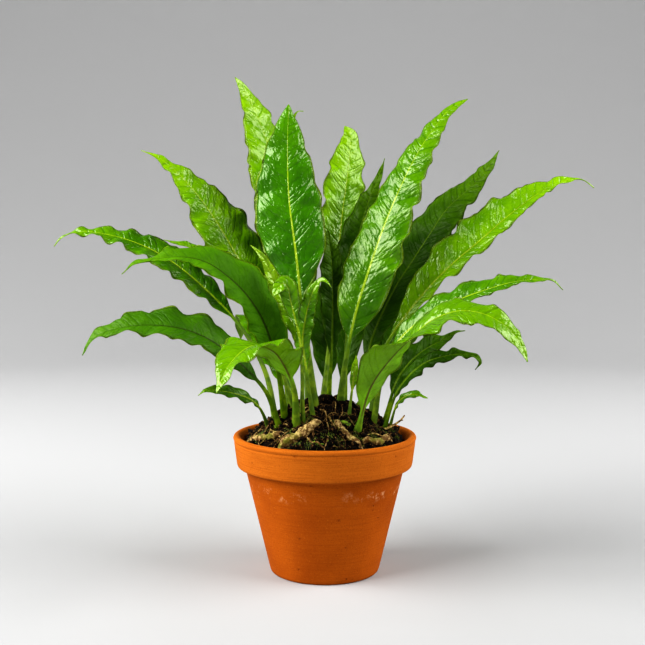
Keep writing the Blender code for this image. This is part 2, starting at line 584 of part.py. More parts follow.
def build_soil():
    """The soil, with a plain hole for each stalk and a groove for each rhizome."""
    soil = add_object("soil", soil_mesh(), material("earth", EARTH_COLOUR, 0.95))
    holes = bpy.data.collections.new("soil_cutters")
    bpy.context.scene.collection.children.link(holes)
    for frond in FRONDS:
        add_cutter("hole_" + frond.name, stalk_hole_mesh(frond), holes)
    for name, (radius, places) in RHIZOMES.items():
        groove = tube_mesh(rhizome_points(radius, places), knots(radius, HOLE_GAP), RHIZOME_SIDES, HOLE_GAP)
        add_cutter("groove_" + name, groove, holes)
    cut = soil.modifiers.new("holes", "BOOLEAN")
    cut.operation = "DIFFERENCE"
    cut.operand_type = "COLLECTION"
    cut.collection = holes
    cut.solver = "EXACT"
    return soil


def build_rhizomes():
    """The knotty rhizomes that lie on the soil."""
    bark = material("rhizome_bark", BARK_COLOUR, 0.85)
    for name, (radius, places) in RHIZOMES.items():
        body = tube_mesh(rhizome_points(radius, places), knots(radius, 0.0), RHIZOME_SIDES)
        add_object(name, body, bark)


def build_fronds():
    """Every frond, each as its own piece."""
    leaf = material("leaf_green", LEAF_COLOUR, 0.35)
    for frond in FRONDS:
        add_object(frond.name, frond_mesh(frond), leaf)


def clear_scene():
    """Remove whatever the scene holds."""
    for thing in list(bpy.data.objects):
        bpy.data.objects.remove(thing, do_unlink=True)


def main():
    """Build the potted fern."""
    clear_scene()
    build_pot()
    build_soil()
    build_rhizomes()
    build_fronds()


main()
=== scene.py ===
"""The looks of a potted java fern: long waved fronds, knotty rhizomes, soil and a clay pot.

Metres, +Z up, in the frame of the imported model. The sizes that the classes hold are in
millimetres and become metres where a mesh is made. The viewer stands at -Y.
"""
import logging
import math
from dataclasses import dataclass, field
from enum import Enum
from typing import Any, Callable, Sequence

import bmesh
import bpy
import numpy as np
from mathutils import Euler, Matrix, Vector, noise

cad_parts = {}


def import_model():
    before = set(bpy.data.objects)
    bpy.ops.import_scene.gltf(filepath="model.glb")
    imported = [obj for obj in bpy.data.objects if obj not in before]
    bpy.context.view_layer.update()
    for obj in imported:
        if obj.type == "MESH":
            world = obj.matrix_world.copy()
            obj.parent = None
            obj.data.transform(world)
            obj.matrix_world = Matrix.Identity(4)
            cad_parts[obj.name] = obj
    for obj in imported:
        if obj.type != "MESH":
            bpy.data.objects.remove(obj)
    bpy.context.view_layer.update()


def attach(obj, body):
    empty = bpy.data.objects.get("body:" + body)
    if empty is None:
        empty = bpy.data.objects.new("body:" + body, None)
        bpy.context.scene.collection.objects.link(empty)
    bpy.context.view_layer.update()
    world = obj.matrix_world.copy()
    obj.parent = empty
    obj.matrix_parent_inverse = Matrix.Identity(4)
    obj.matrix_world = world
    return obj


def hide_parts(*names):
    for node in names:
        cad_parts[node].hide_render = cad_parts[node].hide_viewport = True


LOG = logging.getLogger("potted_fern")
MM = 0.001
ROOT_BODY = "root"

Colour = tuple[float, float, float]
Place = tuple[float, float, float]


class Slot(Enum):
    """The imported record's material slots."""

    CLAY = "clay"
    EARTH = "earth"
    BARK = "bark"
    LEAF = "leaf"


class Signal:
    """A value inside a material, on which ordinary arithmetic can be written."""

    def __init__(self, recipe: "Recipe", socket: bpy.types.NodeSocket) -> None:
        """Remember the material's recipe and the socket that carries the value."""
        self.recipe = recipe
        self.socket = socket

    def _math(self, operation: str, first: Any, second: Any) -> "Signal":
        """Add one Math node on two values."""
        return self.recipe.node("ShaderNodeMath", {"operation": operation}, {0: first, 1: second})

    def __add__(self, other: Any) -> "Signal":
        """Sum."""
        return self._math("ADD", self, other)

    def __radd__(self, other: Any) -> "Signal":
        """Sum, from the right."""
        return self._math("ADD", other, self)

    def __sub__(self, other: Any) -> "Signal":
        """Difference."""
        return self._math("SUBTRACT", self, other)

    def __rsub__(self, other: Any) -> "Signal":
        """Difference, from the right."""
        return self._math("SUBTRACT", other, self)

    def __mul__(self, other: Any) -> "Signal":
        """Product."""
        return self._math("MULTIPLY", self, other)

    def __rmul__(self, other: Any) -> "Signal":
        """Product, from the right."""
        return self._math("MULTIPLY", other, self)

    def __truediv__(self, other: Any) -> "Signal":
        """Quotient."""
        return self._math("DIVIDE", self, other)

    def __pow__(self, other: Any) -> "Signal":
        """Power."""
        return self._math("POWER", self, other)

    def __abs__(self) -> "Signal":
        """Size without its sign."""
        return self._math("ABSOLUTE", self, 0.0)

    def fraction(self) -> "Signal":
        """What is left past the whole number."""
        return self._math("FRACT", self, 0.0)

    def step(self, low: float, high: float) -> "Signal":
        """Rise smoothly from 0 to 1 between two values.

        Args:
            low: Where the rise starts. A fall is asked for by low above high.
            high: Where the rise ends.

        Returns:
            The risen value.
        """
        start, end, ends = (low, high, (0.0, 1.0)) if low < high else (high, low, (1.0, 0.0))
        return self.recipe.node(
            "ShaderNodeMapRange",
            {"interpolation_type": "SMOOTHSTEP"},
            {0: self, 1: start, 2: end, 3: ends[0], 4: ends[1]},
        )


class Recipe:
    """One material's node tree, with short ways to add to it."""

    def __init__(self, name: str) -> None:
        """Start a material that has its Principled shader and nothing else.

        Args:
            name: The material's name.
        """
        self.material = bpy.data.materials.new(name)
        self.material.use_nodes = True
        self.tree = self.material.node_tree
        self.shader = self.tree.nodes["Principled BSDF"]

    def feed(self, socket: bpy.types.NodeSocket, value: Any) -> None:
        """Link a signal into a socket, or set the socket's own value.

        Args:
            socket: The socket to feed.
            value: A signal, a number, a colour or a vector.
        """
        if isinstance(value, Signal):
            self.tree.links.new(value.socket, socket)
        elif socket.type == "RGBA":
            socket.default_value = (*value[:3], 1.0)
        else:
            socket.default_value = value

    def node(self, kind: str, settings: dict[str, Any] | None = None,
             inputs: dict[Any, Any] | None = None, output: Any = 0) -> Signal:
        """Add any node.

        Args:
            kind: The node's type.
            settings: Its own settings, which are set first.
            inputs: Values or signals for its sockets, by name or by place.
            output: The output that is handed back.

        Returns:
            That output's signal.
        """
        made = self.tree.nodes.new(kind)
        for key, value in (settings or {}).items():
            setattr(made, key, value)
        for key, value in (inputs or {}).items():
            self.feed(made.inputs[key], value)
        return Signal(self, made.outputs[output])

    def here(self) -> Signal:
        """The place in the object's own frame, in metres."""
        return self.node("ShaderNodeTexCoord", output="Object")

    def attribute(self, name: str) -> tuple[Signal, Signal, Signal]:
        """The three parts of a vector that the mesh carries.

        Args:
            name: The mesh attribute's name.

        Returns:
            Its three parts.
        """
        return self.parts(self.node("ShaderNodeAttribute", {"attribute_name": name}, output="Vector"))

    def parts(self, vector: Signal) -> tuple[Signal, Signal, Signal]:
        """A vector's three parts."""
        split = self.node("ShaderNodeSeparateXYZ", inputs={0: vector})
        outputs = split.socket.node.outputs
        return tuple(Signal(self, outputs[i]) for i in range(3))

    def vector(self, x: Any, y: Any, z: Any = 0.0) -> Signal:
        """A vector made of three values."""
        return self.node("ShaderNodeCombineXYZ", inputs={0: x, 1: y, 2: z})

    def blend(self, share: Any, first: Any, second: Any) -> Signal:
        """Mix two colours.

        Args:
            share: How much of the second colour there is.
            first: The first colour.
            second: The second colour.

        Returns:
            The mixed colour.
        """
        return self.node("ShaderNodeMix", {"data_type": "RGBA"}, {0: share, 6: first, 7: second}, output=2)

    def cloud(self, place: Signal, scale: float, detail: float = 3.0, rough: float = 0.55) -> Signal:
        """Soft noise between about 0.2 and 0.8, at so many cells a metre."""
        return self.node("ShaderNodeTexNoise", inputs={"Vector": place, "Scale": scale, "Detail": detail,
                                                       "Roughness": rough})

    def cells(self, place: Signal, scale: float) -> Signal:
        """Distance inside a pattern of cells, at so many cells a metre."""
        return self.node("ShaderNodeTexVoronoi", inputs={"Vector": place, "Scale": scale}, output="Distance")

    def least(self, first: Any, second: Any) -> Signal:
        """The smaller of two values."""
        return self.node("ShaderNodeMath", {"operation": "MINIMUM"}, {0: first, 1: second})

    def relief(self, height: Signal, depth: float) -> Signal:
        """A surface normal from a height map.

        Args:
            height: The height.
            depth: What a height of 1 measures, in millimetres.

        Returns:
            The normal.
        """
        return self.node("ShaderNodeBump", inputs={"Strength": 1.0, "Distance": depth * MM, "Height": height})

    def finish(self, colour: Any, roughness: Any, normal: Signal | None = None,
               **constants: Any) -> bpy.types.Material:
        """Feed the shader and hand back the finished material.

        Args:
            colour: The base colour.
            roughness: The roughness.
            normal: The surface normal, if the finish has relief.
            constants: Values of other sockets, named in lower case with underscores.

        Returns:
            The material.
        """
        self.feed(self.shader.inputs["Base Color"], colour)
        self.feed(self.shader.inputs["Roughness"], roughness)
        if normal is not None:
            self.feed(self.shader.inputs["Normal"], normal)
        for name, value in constants.items():
            words = [word.upper() if word == "ior" else word.capitalize() for word in name.split("_")]
            self.feed(self.shader.inputs[" ".join(words)], value)
        return self.material


def place_piece(name: str, mesh: bpy.types.Mesh, finish: bpy.types.Material,
                stands_for: Sequence[str] = ()) -> bpy.types.Object:
    """Put a finished mesh into the scene as a piece that rides on the object's one body.

    Args:
        name: The piece's name.
        mesh: Its mesh, in metres and in place.
        finish: Its material.
        stands_for: The frame's nodes that it is shown in place of.

    Returns:
        The piece.
    """
    mesh.materials.clear()
    mesh.materials.append(finish)
    mesh.shade_smooth()
    piece = bpy.data.objects.new(name, mesh)
    bpy.context.scene.collection.objects.link(piece)
    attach(piece, ROOT_BODY)
    if stands_for:
        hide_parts(*stands_for)
    LOG.info("%s: %d faces", name, len(mesh.polygons))
    return piece


def to_mesh(name: str, body: bmesh.types.BMesh) -> bpy.types.Mesh:
    """Turn a bmesh into a mesh and free it."""
    mesh = bpy.data.meshes.new(name)
    body.to_mesh(mesh)
    body.free()
    return mesh


def units(rows: np.ndarray) -> np.ndarray:
    """Each row at length one."""
    return rows / np.maximum(np.linalg.norm(rows, axis=-1, keepdims=True), 1e-9)


def ease(value: np.ndarray, low: float, high: float) -> np.ndarray:
    """Rise smoothly from 0 at low to 1 at high."""
    share = np.clip((value - low) / (high - low), 0.0, 1.0)
    return share * share * (3.0 - 2.0 * share)


def smooth_route(points: Sequence[Sequence[float]], per_span: int = 24) -> np.ndarray:
    """Read a centripetal Catmull-Rom curve through the points.

    Args:
        points: The points that the curve passes through.
        per_span: How many points are read between two of them.

    Returns:
        The curve's close points, one a row.
    """
    given = [np.asarray(point, float) for point in points]
    ends = [2 * given[0] - given[1]] + given + [2 * given[-1] - given[-2]]
    curve = []
    for before, start, end, after in zip(ends, ends[1:], ends[2:], ends[3:]):
        t_start = np.linalg.norm(start - before) ** 0.5
        t_end = t_start + np.linalg.norm(end - start) ** 0.5
        t_after = t_end + np.linalg.norm(after - end) ** 0.5
        t = t_start + (t_end - t_start) * np.arange(per_span)[:, None] / per_span
        a1 = before + (start - before) * t / t_start
        a2 = start + (end - start) * (t - t_start) / (t_end - t_start)
        a3 = end + (after - end) * (t - t_end) / (t_after - t_end)
        b1 = a1 + (a2 - a1) * t / t_end
        b2 = a2 + (a3 - a2) * (t - t_start) / (t_after - t_start)
        curve.append(b1 + (b2 - b1) * (t - t_start) / (t_end - t_start))
    return np.vstack(curve + [given[-1][None, :]])


class Route:
    """A smooth curve that is read by the length along it."""

    def __init__(self, points: Sequence[Sequence[float]]) -> None:
        """Measure the curve through the points."""
        self.curve = smooth_route(points)
        steps = np.linalg.norm(np.diff(self.curve, axis=0), axis=1)
        self.along = np.concatenate(([0.0], np.cumsum(steps)))
        self.length = float(self.along[-1])

    def at(self, distances: np.ndarray) -> np.ndarray:
        """The curve's points at distances from its start."""
        return np.stack([np.interp(distances, self.along, self.curve[:, i]) for i in range(3)], axis=-1)

    def heading(self, distances: np.ndarray, reach: float = 3.0) -> np.ndarray:
        """The curve's directions at distances from its start."""
        ahead = self.at(np.minimum(distances + reach, self.length))
        return units(ahead - self.at(np.maximum(distances - reach, 0.0)))


@dataclass(frozen=True)
class ClayFinish:
    """Fired clay: matt, with turning lines, pits, and pale salt below the band. The band's paler tone is
    painted light and the pits' darker tone painted shade.

    Heights and distances are in millimetres. Scales give a pattern's cells in a metre.
    """

    fired: Colour = (0.45, 0.118, 0.007)
    # scorched is the clay's darker fired tone, also used for painted shade in the pits.
    scorched_and_pit_shade: Colour = (0.30, 0.068, 0.003)
    char: Colour = (0.20, 0.042, 0.002)
    # pale is the grain's own pale tone and also the painted light on the rim band.
    pale: Colour = (0.63, 0.226, 0.028)
    salt: Colour = (0.78, 0.46, 0.26)
    damp: Colour = (0.17, 0.045, 0.012)
    band_from: float = 80.5
    band_to: float = 83.0
    # How far the rim band is painted paler: painted light.
    band_painted_light: float = 0.36
    salt_height: float = 68.0
    salt_spread: float = 7.0
    salt_wander: float = 16.0
    soil_line: float = 100.0
    damp_fade: float = 3.0
    damp_wander: float = 6.0
    inner_foot: float = 38.5
    inner_slope: float = 0.233
    inner_limit: float = 64.5
    patch_scale: float = 22.0
    grain_scale: float = 900.0
    line_scale: float = 1500.0
    sand_scale: float = 1000.0
    lump_scale: float = 300.0
    bloom_scale: float = 130.0
    speck_scale: float = 420.0
    wander_scale: float = 30.0
    pit_scale: float = 105.0
    pitted_scale: float = 60.0
    roughness: float = 0.76
    shine: float = 0.1
    relief: float = 0.26

    def make(self) -> bpy.types.Material:
        """Make the clay's material."""
        recipe = Recipe("fired_clay")
        here = recipe.here()
        x, y, z = recipe.parts(here)
        grain = recipe.cloud(here, self.grain_scale, 2.0)
        lines = recipe.cloud(recipe.vector(x * 0.02, y * 0.02, z), self.line_scale, 2.0)
        sand = recipe.cloud(here, self.sand_scale, 2.0, 0.7)
        wander = recipe.cloud(here, self.wander_scale, 2.0) - 0.5
        pitted = recipe.cloud(here, self.pitted_scale).step(0.5, 0.58)
        pits = recipe.cells(here, self.pit_scale).step(0.105, 0.06) * pitted

        patches = recipe.cloud(here, self.patch_scale, 4.0).step(0.12, 0.80)
        colour = recipe.blend(patches, self.scorched_and_pit_shade, self.fired)
        # The rim band is drawn paler than the body: painted light, for the band catching more of the light
        # from above.
        band = (z / MM).step(self.band_from, self.band_to)
        colour = recipe.blend(band * self.band_painted_light, colour, self.pale)
        colour = recipe.blend(grain.step(0.55, 0.80) * 0.35, colour, self.pale)
        colour = recipe.blend(lines.step(0.42, 0.66) * 0.34, colour, self.scorched_and_pit_shade)
        colour = recipe.blend(sand.step(0.48, 0.30) * 0.35, colour, self.char)
        colour = recipe.blend(self.salt_share(recipe, here, wander), colour, self.salt)
        # The pits take the darker scorched tone: painted shade in the hollows.
        colour = recipe.blend(pits * 0.8, colour, self.scorched_and_pit_shade)

        taper = (z / MM) * self.inner_slope + self.inner_foot
        inside = (recipe.least(taper, self.inner_limit) - (x * x + y * y) ** 0.5 / MM).step(-0.5, 0.5)
        low = self.soil_line - self.damp_fade
        wet = inside * (z / MM + wander * self.damp_wander).step(self.soil_line + self.damp_fade, low)
        colour = recipe.blend(wet * 0.8, colour, self.damp)

        lumps = recipe.cloud(here, self.lump_scale, 3.0)
        height = lines * 0.50 + grain * 0.45 - pits * 2.2 + lumps * 0.5 + sand * 0.5
        return recipe.finish(colour, self.roughness + grain * 0.18, recipe.relief(height, self.relief),
                             specular_ior_level=self.shine)

    def salt_share(self, recipe: Recipe, here: Signal, wander: Signal) -> Signal:
        """How much salt there is: a broken line under the band, thinner in front.

        Args:
            recipe: The clay's recipe.
            here: The place on the pot.
            wander: How far the line strays, from about -0.5 to 0.5.

        Returns:
            The salt's share, from 0 to 1.
        """
        x, _, z = recipe.parts(here)
        bloom = recipe.cloud(here, self.bloom_scale, 5.0, 0.75).step(0.52, 0.68)
        specks = recipe.cells(here, self.speck_scale).step(0.34, 0.14)
        line = abs(z / MM - self.salt_height + wander * self.salt_wander).step(self.salt_spread, 0.0)
        flank = abs(x / MM).step(8.0, 40.0) * 0.8 + 0.2
        return (bloom * 0.6 + specks * bloom * 0.5) * line * flank


@dataclass(frozen=True)
class EarthFinish:
    """Dark damp potting soil. bits is the share of ochre bits, from 0 to 1."""

    name: str = "damp_soil"
    dark: Colour = (0.004, 0.003, 0.002)
    brown: Colour = (0.026, 0.013, 0.007)
    ochre: Colour = (0.22, 0.12, 0.040)
    bits: float = 0.0
    crumb_scale: float = 260.0
    bit_scale: float = 420.0
    roughness: float = 0.80
    shine: float = 0.12
    relief: float = 0.9

    def make(self) -> bpy.types.Material:
        """Make the soil's material."""
        recipe = Recipe(self.name)
        here = recipe.here()
        crumbs = recipe.cloud(here, self.crumb_scale, 5.0, 0.7)
        colour = recipe.blend(crumbs.step(0.42, 0.70), self.dark, self.brown)
        bits = recipe.cloud(here, self.bit_scale, 2.0).step(0.68 - 0.10 * self.bits, 0.74 - 0.08 * self.bits)
        colour = recipe.blend(bits * (0.30 + 0.45 * self.bits), colour, self.ochre)
        return recipe.finish(colour, self.roughness + crumbs * 0.2, recipe.relief(crumbs, self.relief),
                             specular_ior_level=self.shine)


@dataclass(frozen=True)
class BarkFinish:
    """Scaly root bark, from beige to brown, with a touch of green."""

    name: str = "rhizome_scales"
    pale: Colour = (0.62, 0.45, 0.19)
    brown: Colour = (0.13, 0.07, 0.022)
    green: Colour = (0.19, 0.23, 0.02)
    moss_share: float = 0.55
    scale: float = 420.0
    flake_scale: float = 336.0
    worn_scale: float = 160.0
    moss_scale: float = 70.0
    roughness: float = 0.72
    shine: float = 0.2
    relief: float = 0.8

    def make(self) -> bpy.types.Material:
        """Make the bark's material."""
        recipe = Recipe(self.name)
        here = recipe.here()
        scales = recipe.cells(here, self.scale)
        worn = recipe.cloud(here, self.worn_scale, 4.0, 0.65)
        flakes = recipe.cloud(here, self.flake_scale, 3.0, 0.6).step(0.44, 0.60)
        moss = recipe.cloud(here, self.moss_scale).step(0.50, 0.66)
        colour = recipe.blend(flakes, self.brown, self.pale)
        colour = recipe.blend(scales.step(0.45, 0.75) * 0.5, colour, self.brown)
        colour = recipe.blend(worn.step(0.48, 0.70) * 0.85, colour, self.brown)
        colour = recipe.blend(moss * self.moss_share, colour, self.green)
        height = (1.0 - scales) * 0.7 + worn * 0.6
        return recipe.finish(colour, self.roughness + worn * 0.2, recipe.relief(height, self.relief),
                             specular_ior_level=self.shine)


@dataclass(frozen=True)
class MossFinish:
    """The green of the low moss and of the buds on the soil."""

    name: str = "moss_green"
    tip: Colour = (0.20, 0.26, 0.02)
    deep: Colour = (0.045, 0.075, 0.008)
    scale: float = 420.0
    roughness: float = 0.7

    def make(self) -> bpy.types.Material:
        """Make the moss's material."""
        recipe = Recipe(self.name)
        shades = recipe.cloud(recipe.here(), self.scale).step(0.40, 0.62)
        return recipe.finish(recipe.blend(shades, self.deep, self.tip), self.roughness)


@dataclass(frozen=True)
class LeafFinish:
    """A frond's green, from its midrib to its margin and from its upper to its lower side.

    It reads two vectors that the mesh carries. leaf_place holds the millimetres from the
    midrib, the millimetres along the blade, and the share of the half width. leaf_look
    holds the share along the blade, 1 on the upper side and -1 on the lower one, and the
    count of side veins, whose whole numbers lie on the veins. swell, crumple, pillow and
    the other heights are in millimetres.
    """

    name: str
    upper: Colour
    # deep is the leaf's darker green; it also serves as painted shade in the vein grooves and the fine net's
    # creases.
    deep: Colour
    bright: Colour
    under: Colour
    rib: Colour = (0.34, 0.46, 0.02)
    under_rib: Colour = (0.30, 0.36, 0.03)
    # The margin's pale green: partly its own paler tone, partly a painted highlight for the glints along the
    # rippled edge.
    margin: Colour = (0.36, 0.55, 0.02)
    # The stalks' greens are kept darker than their own green: painted shade for the shade among the stalks
    # inside the plant.
    stem: Colour = (0.085, 0.165, 0.003)
    stem_pale: Colour = (0.20, 0.30, 0.008)
    sheen: Colour = (0.97, 1.0, 0.75)
    # How far the side-vein grooves are drawn darker: partly the veins' own tone, partly painted shade in the
    # grooves.
    vein_tone_and_shade: float = 0.55
    gloss: float = 0.11
    shine: float = 0.5
    swell: float = 0.26
    crumple: float = 1.1
    pillow: float = 0.12
    vein_depth: float = 0.15
    grain_depth: float = 0.16
    under_rough: float = 0.32
    stalk_rough: float = 0.42
    mottle_scale: float = 42.0
    stem_scale: float = 120.0
    rib_foot: float = 1.25
    rib_taper: float = 0.95
    side_gap: float = 40.0

    def make(self) -> bpy.types.Material:
        """Make the leaf's material."""
        recipe = Recipe(self.name)
        here = recipe.here()
        across, along, edge = recipe.attribute("leaf_place")
        share, side, phase = recipe.attribute("leaf_look")
        flat = recipe.vector(across, along, side * self.side_gap)
        upper_side = side.step(-0.2, 0.2)
        blade = share.step(-0.06, 0.05)
        stalk = share.step(0.03, -0.10)
        crest = abs(phase.fraction() - 0.5) * 2.0
        inner = blade * edge.step(1.0, 0.80)
        groove = crest.step(0.70, 1.0) * inner
        drift = recipe.cloud(flat, 0.12, 2.0) * 1.4
        net = recipe.vector(across * 0.34 + drift, phase * 2.6 + drift, side * self.side_gap)
        areole = recipe.cells(net, 1.0)
        mottle = recipe.cloud(here, self.mottle_scale, 3.0)

        green = recipe.blend(mottle.step(0.32, 0.68), self.deep, self.upper)
        green = recipe.blend(share.step(0.55, 1.0) * 0.6, green, self.bright)
        green = recipe.blend(edge.step(0.72, 1.0) * 0.35, green, self.bright)
        # The fine net's creases are drawn toward the deep green: partly the net's own darker tone, partly
        # painted shade in the creases.
        green = recipe.blend(areole.step(0.40, 0.80) * 0.25 * blade, green, self.deep)
        below = recipe.blend(mottle.step(0.35, 0.7) * 0.5, self.under, self.upper)
        green = recipe.blend(upper_side, below, green)
        # Side-vein grooves are drawn toward the deep green: partly the veins' own darker tone, partly painted
        # shade in the grooves.
        green = recipe.blend(groove * (upper_side * 0.7 + 0.3) * self.vein_tone_and_shade, green, self.deep)
        # A pale line along the margin: partly the margin's own paler tone, partly a painted highlight for the
        # glints along the rippled edge.
        green = recipe.blend(edge.step(0.93, 0.98) * blade * 0.85, green, self.margin)

        rib_reach = self.rib_foot - share.step(0.0, 0.9) * self.rib_taper
        rib = (abs(across) / rib_reach).step(1.0, 0.45)
        rib_colour = recipe.blend(upper_side, self.under_rib, self.rib)
        green = recipe.blend(rib * blade * (0.92 - share.step(0.5, 1.0) * 0.5), green, rib_colour)
        stem_shades = recipe.cloud(here, self.stem_scale).step(0.4, 0.65)
        # The stalks take the darkened stem greens: painted shade among the stalks inside the plant.
        green = recipe.blend(stalk, green, recipe.blend(stem_shades, self.stem, self.stem_pale))

        dome = (1.0 - areole * areole * 1.6) * blade
        skin = recipe.cloud(flat, 0.17, 2.0, 0.45)
        grain = recipe.cloud(flat, 0.75, 1.0)
        pillow = (1.0 - crest * crest) * inner
        height = dome * self.swell + skin * self.crumple + grain * self.grain_depth
        height = height + pillow * self.pillow - groove * self.vein_depth
        rough = self.gloss + mottle * 0.06 + (1.0 - upper_side) * self.under_rough + stalk * self.stalk_rough
        return recipe.finish(green, rough, recipe.relief(height, 1.0), specular_ior_level=self.shine,
                             specular_tint=self.sheen)


class Age(Enum):
    """How old a frond is and how it is ribbed, which sets its green, some greens with painted light and
    shade.
    """

    YOUNG = LeafFinish("leaf_young", upper=(0.24, 0.42, 0.004), deep=(0.13, 0.28, 0.003),
                       bright=(0.34, 0.54, 0.008), under=(0.22, 0.40, 0.005))
    LIGHT = LeafFinish("leaf_light", upper=(0.19, 0.38, 0.003), deep=(0.10, 0.25, 0.002),
                       bright=(0.27, 0.47, 0.005), under=(0.18, 0.36, 0.004), shine=0.42)
    FRESH = LeafFinish("leaf_fresh", upper=(0.125, 0.29, 0.003), deep=(0.065, 0.19, 0.002),
                       bright=(0.20, 0.38, 0.004), under=(0.15, 0.31, 0.004))
    GROWN = LeafFinish("leaf_grown", upper=(0.095, 0.240, 0.002), deep=(0.044, 0.148, 0.001),
                       bright=(0.19, 0.36, 0.004), under=(0.11, 0.26, 0.003), vein_tone_and_shade=0.7,
                       gloss=0.15, crumple=0.85)
    DEEP = LeafFinish("leaf_deep", upper=(0.062, 0.215, 0.001), deep=(0.032, 0.135, 0.001),
                      bright=(0.10, 0.27, 0.002), under=(0.07, 0.20, 0.002), vein_tone_and_shade=0.4)
    # A darker copy of the leaf green, with a darker rib and margin: painted shade for fronds that lie in the
    # shade of others.
    SHADED = LeafFinish("leaf_shaded", upper=(0.045, 0.115, 0.001), deep=(0.022, 0.065, 0.001),
                        bright=(0.12, 0.24, 0.002), under=(0.05, 0.12, 0.002), rib=(0.12, 0.20, 0.008),
                        margin=(0.10, 0.19, 0.004), gloss=0.35, shine=0.12)
    # Its underside is paler than its upper side: partly the underside's own green, partly painted light
    # shining through the blade from above.
    BROWN_RIBBED = LeafFinish("leaf_brown_ribbed", upper=(0.13, 0.275, 0.002), deep=(0.085, 0.21, 0.001),
                              bright=(0.17, 0.34, 0.003), under=(0.20, 0.44, 0.002),
                              under_rib=(0.10, 0.10, 0.005))
    # Its dark midrib is painted shade along the midrib's crease.
    BROAD_RIBBED = LeafFinish("leaf_broad_ribbed", upper=(0.082, 0.215, 0.001), deep=(0.050, 0.150, 0.001),
                              bright=(0.13, 0.27, 0.002), under=(0.09, 0.22, 0.003),
                              rib=(0.030, 0.055, 0.002), gloss=0.55, shine=0.1, crumple=0.6, pillow=0.06)
    # Its dark midrib is painted shade along the midrib's crease.
    DARK_RIBBED = LeafFinish("leaf_dark_ribbed", upper=(0.056, 0.158, 0.001), deep=(0.034, 0.108, 0.001),
                             bright=(0.10, 0.23, 0.002), under=(0.09, 0.22, 0.003),
                             rib=(0.025, 0.05, 0.002), gloss=0.45, shine=0.17, crumple=0.8, pillow=0.06)


@dataclass(frozen=True)
class Frond:
    """One frond: a stalk that widens into a long waved blade.

    foot is where the stalk leaves the soil. route lists points of the midrib as
    (across, height, depth). faces gives the way the upper side looks at the foot,
    half way and at the tip. blade is the share of the length where the blade starts,
    widest the share of the blade where it is widest, and point how drawn out its tip is.
    skew widens one half of the blade and narrows the other by that share, and a
    smaller heel makes the blade's lower end rounder. puff is how far the blade
    swells between its side veins.
    """

    name: str
    foot: tuple[float, float]
    route: tuple[Place, ...]
    faces: tuple[Place, Place, Place]
    half_width: float
    blade: float = 0.3
    widest: float = 0.45
    point: float = 1.0
    fold: float = 0.12
    wave: float = 2.2
    beats: float = 6.0
    phase: float = 0.0
    stalk: float = 1.9
    skew: float = 0.0
    heel: float = 0.85
    age: Age = Age.FRESH
    puff: float = 0.55


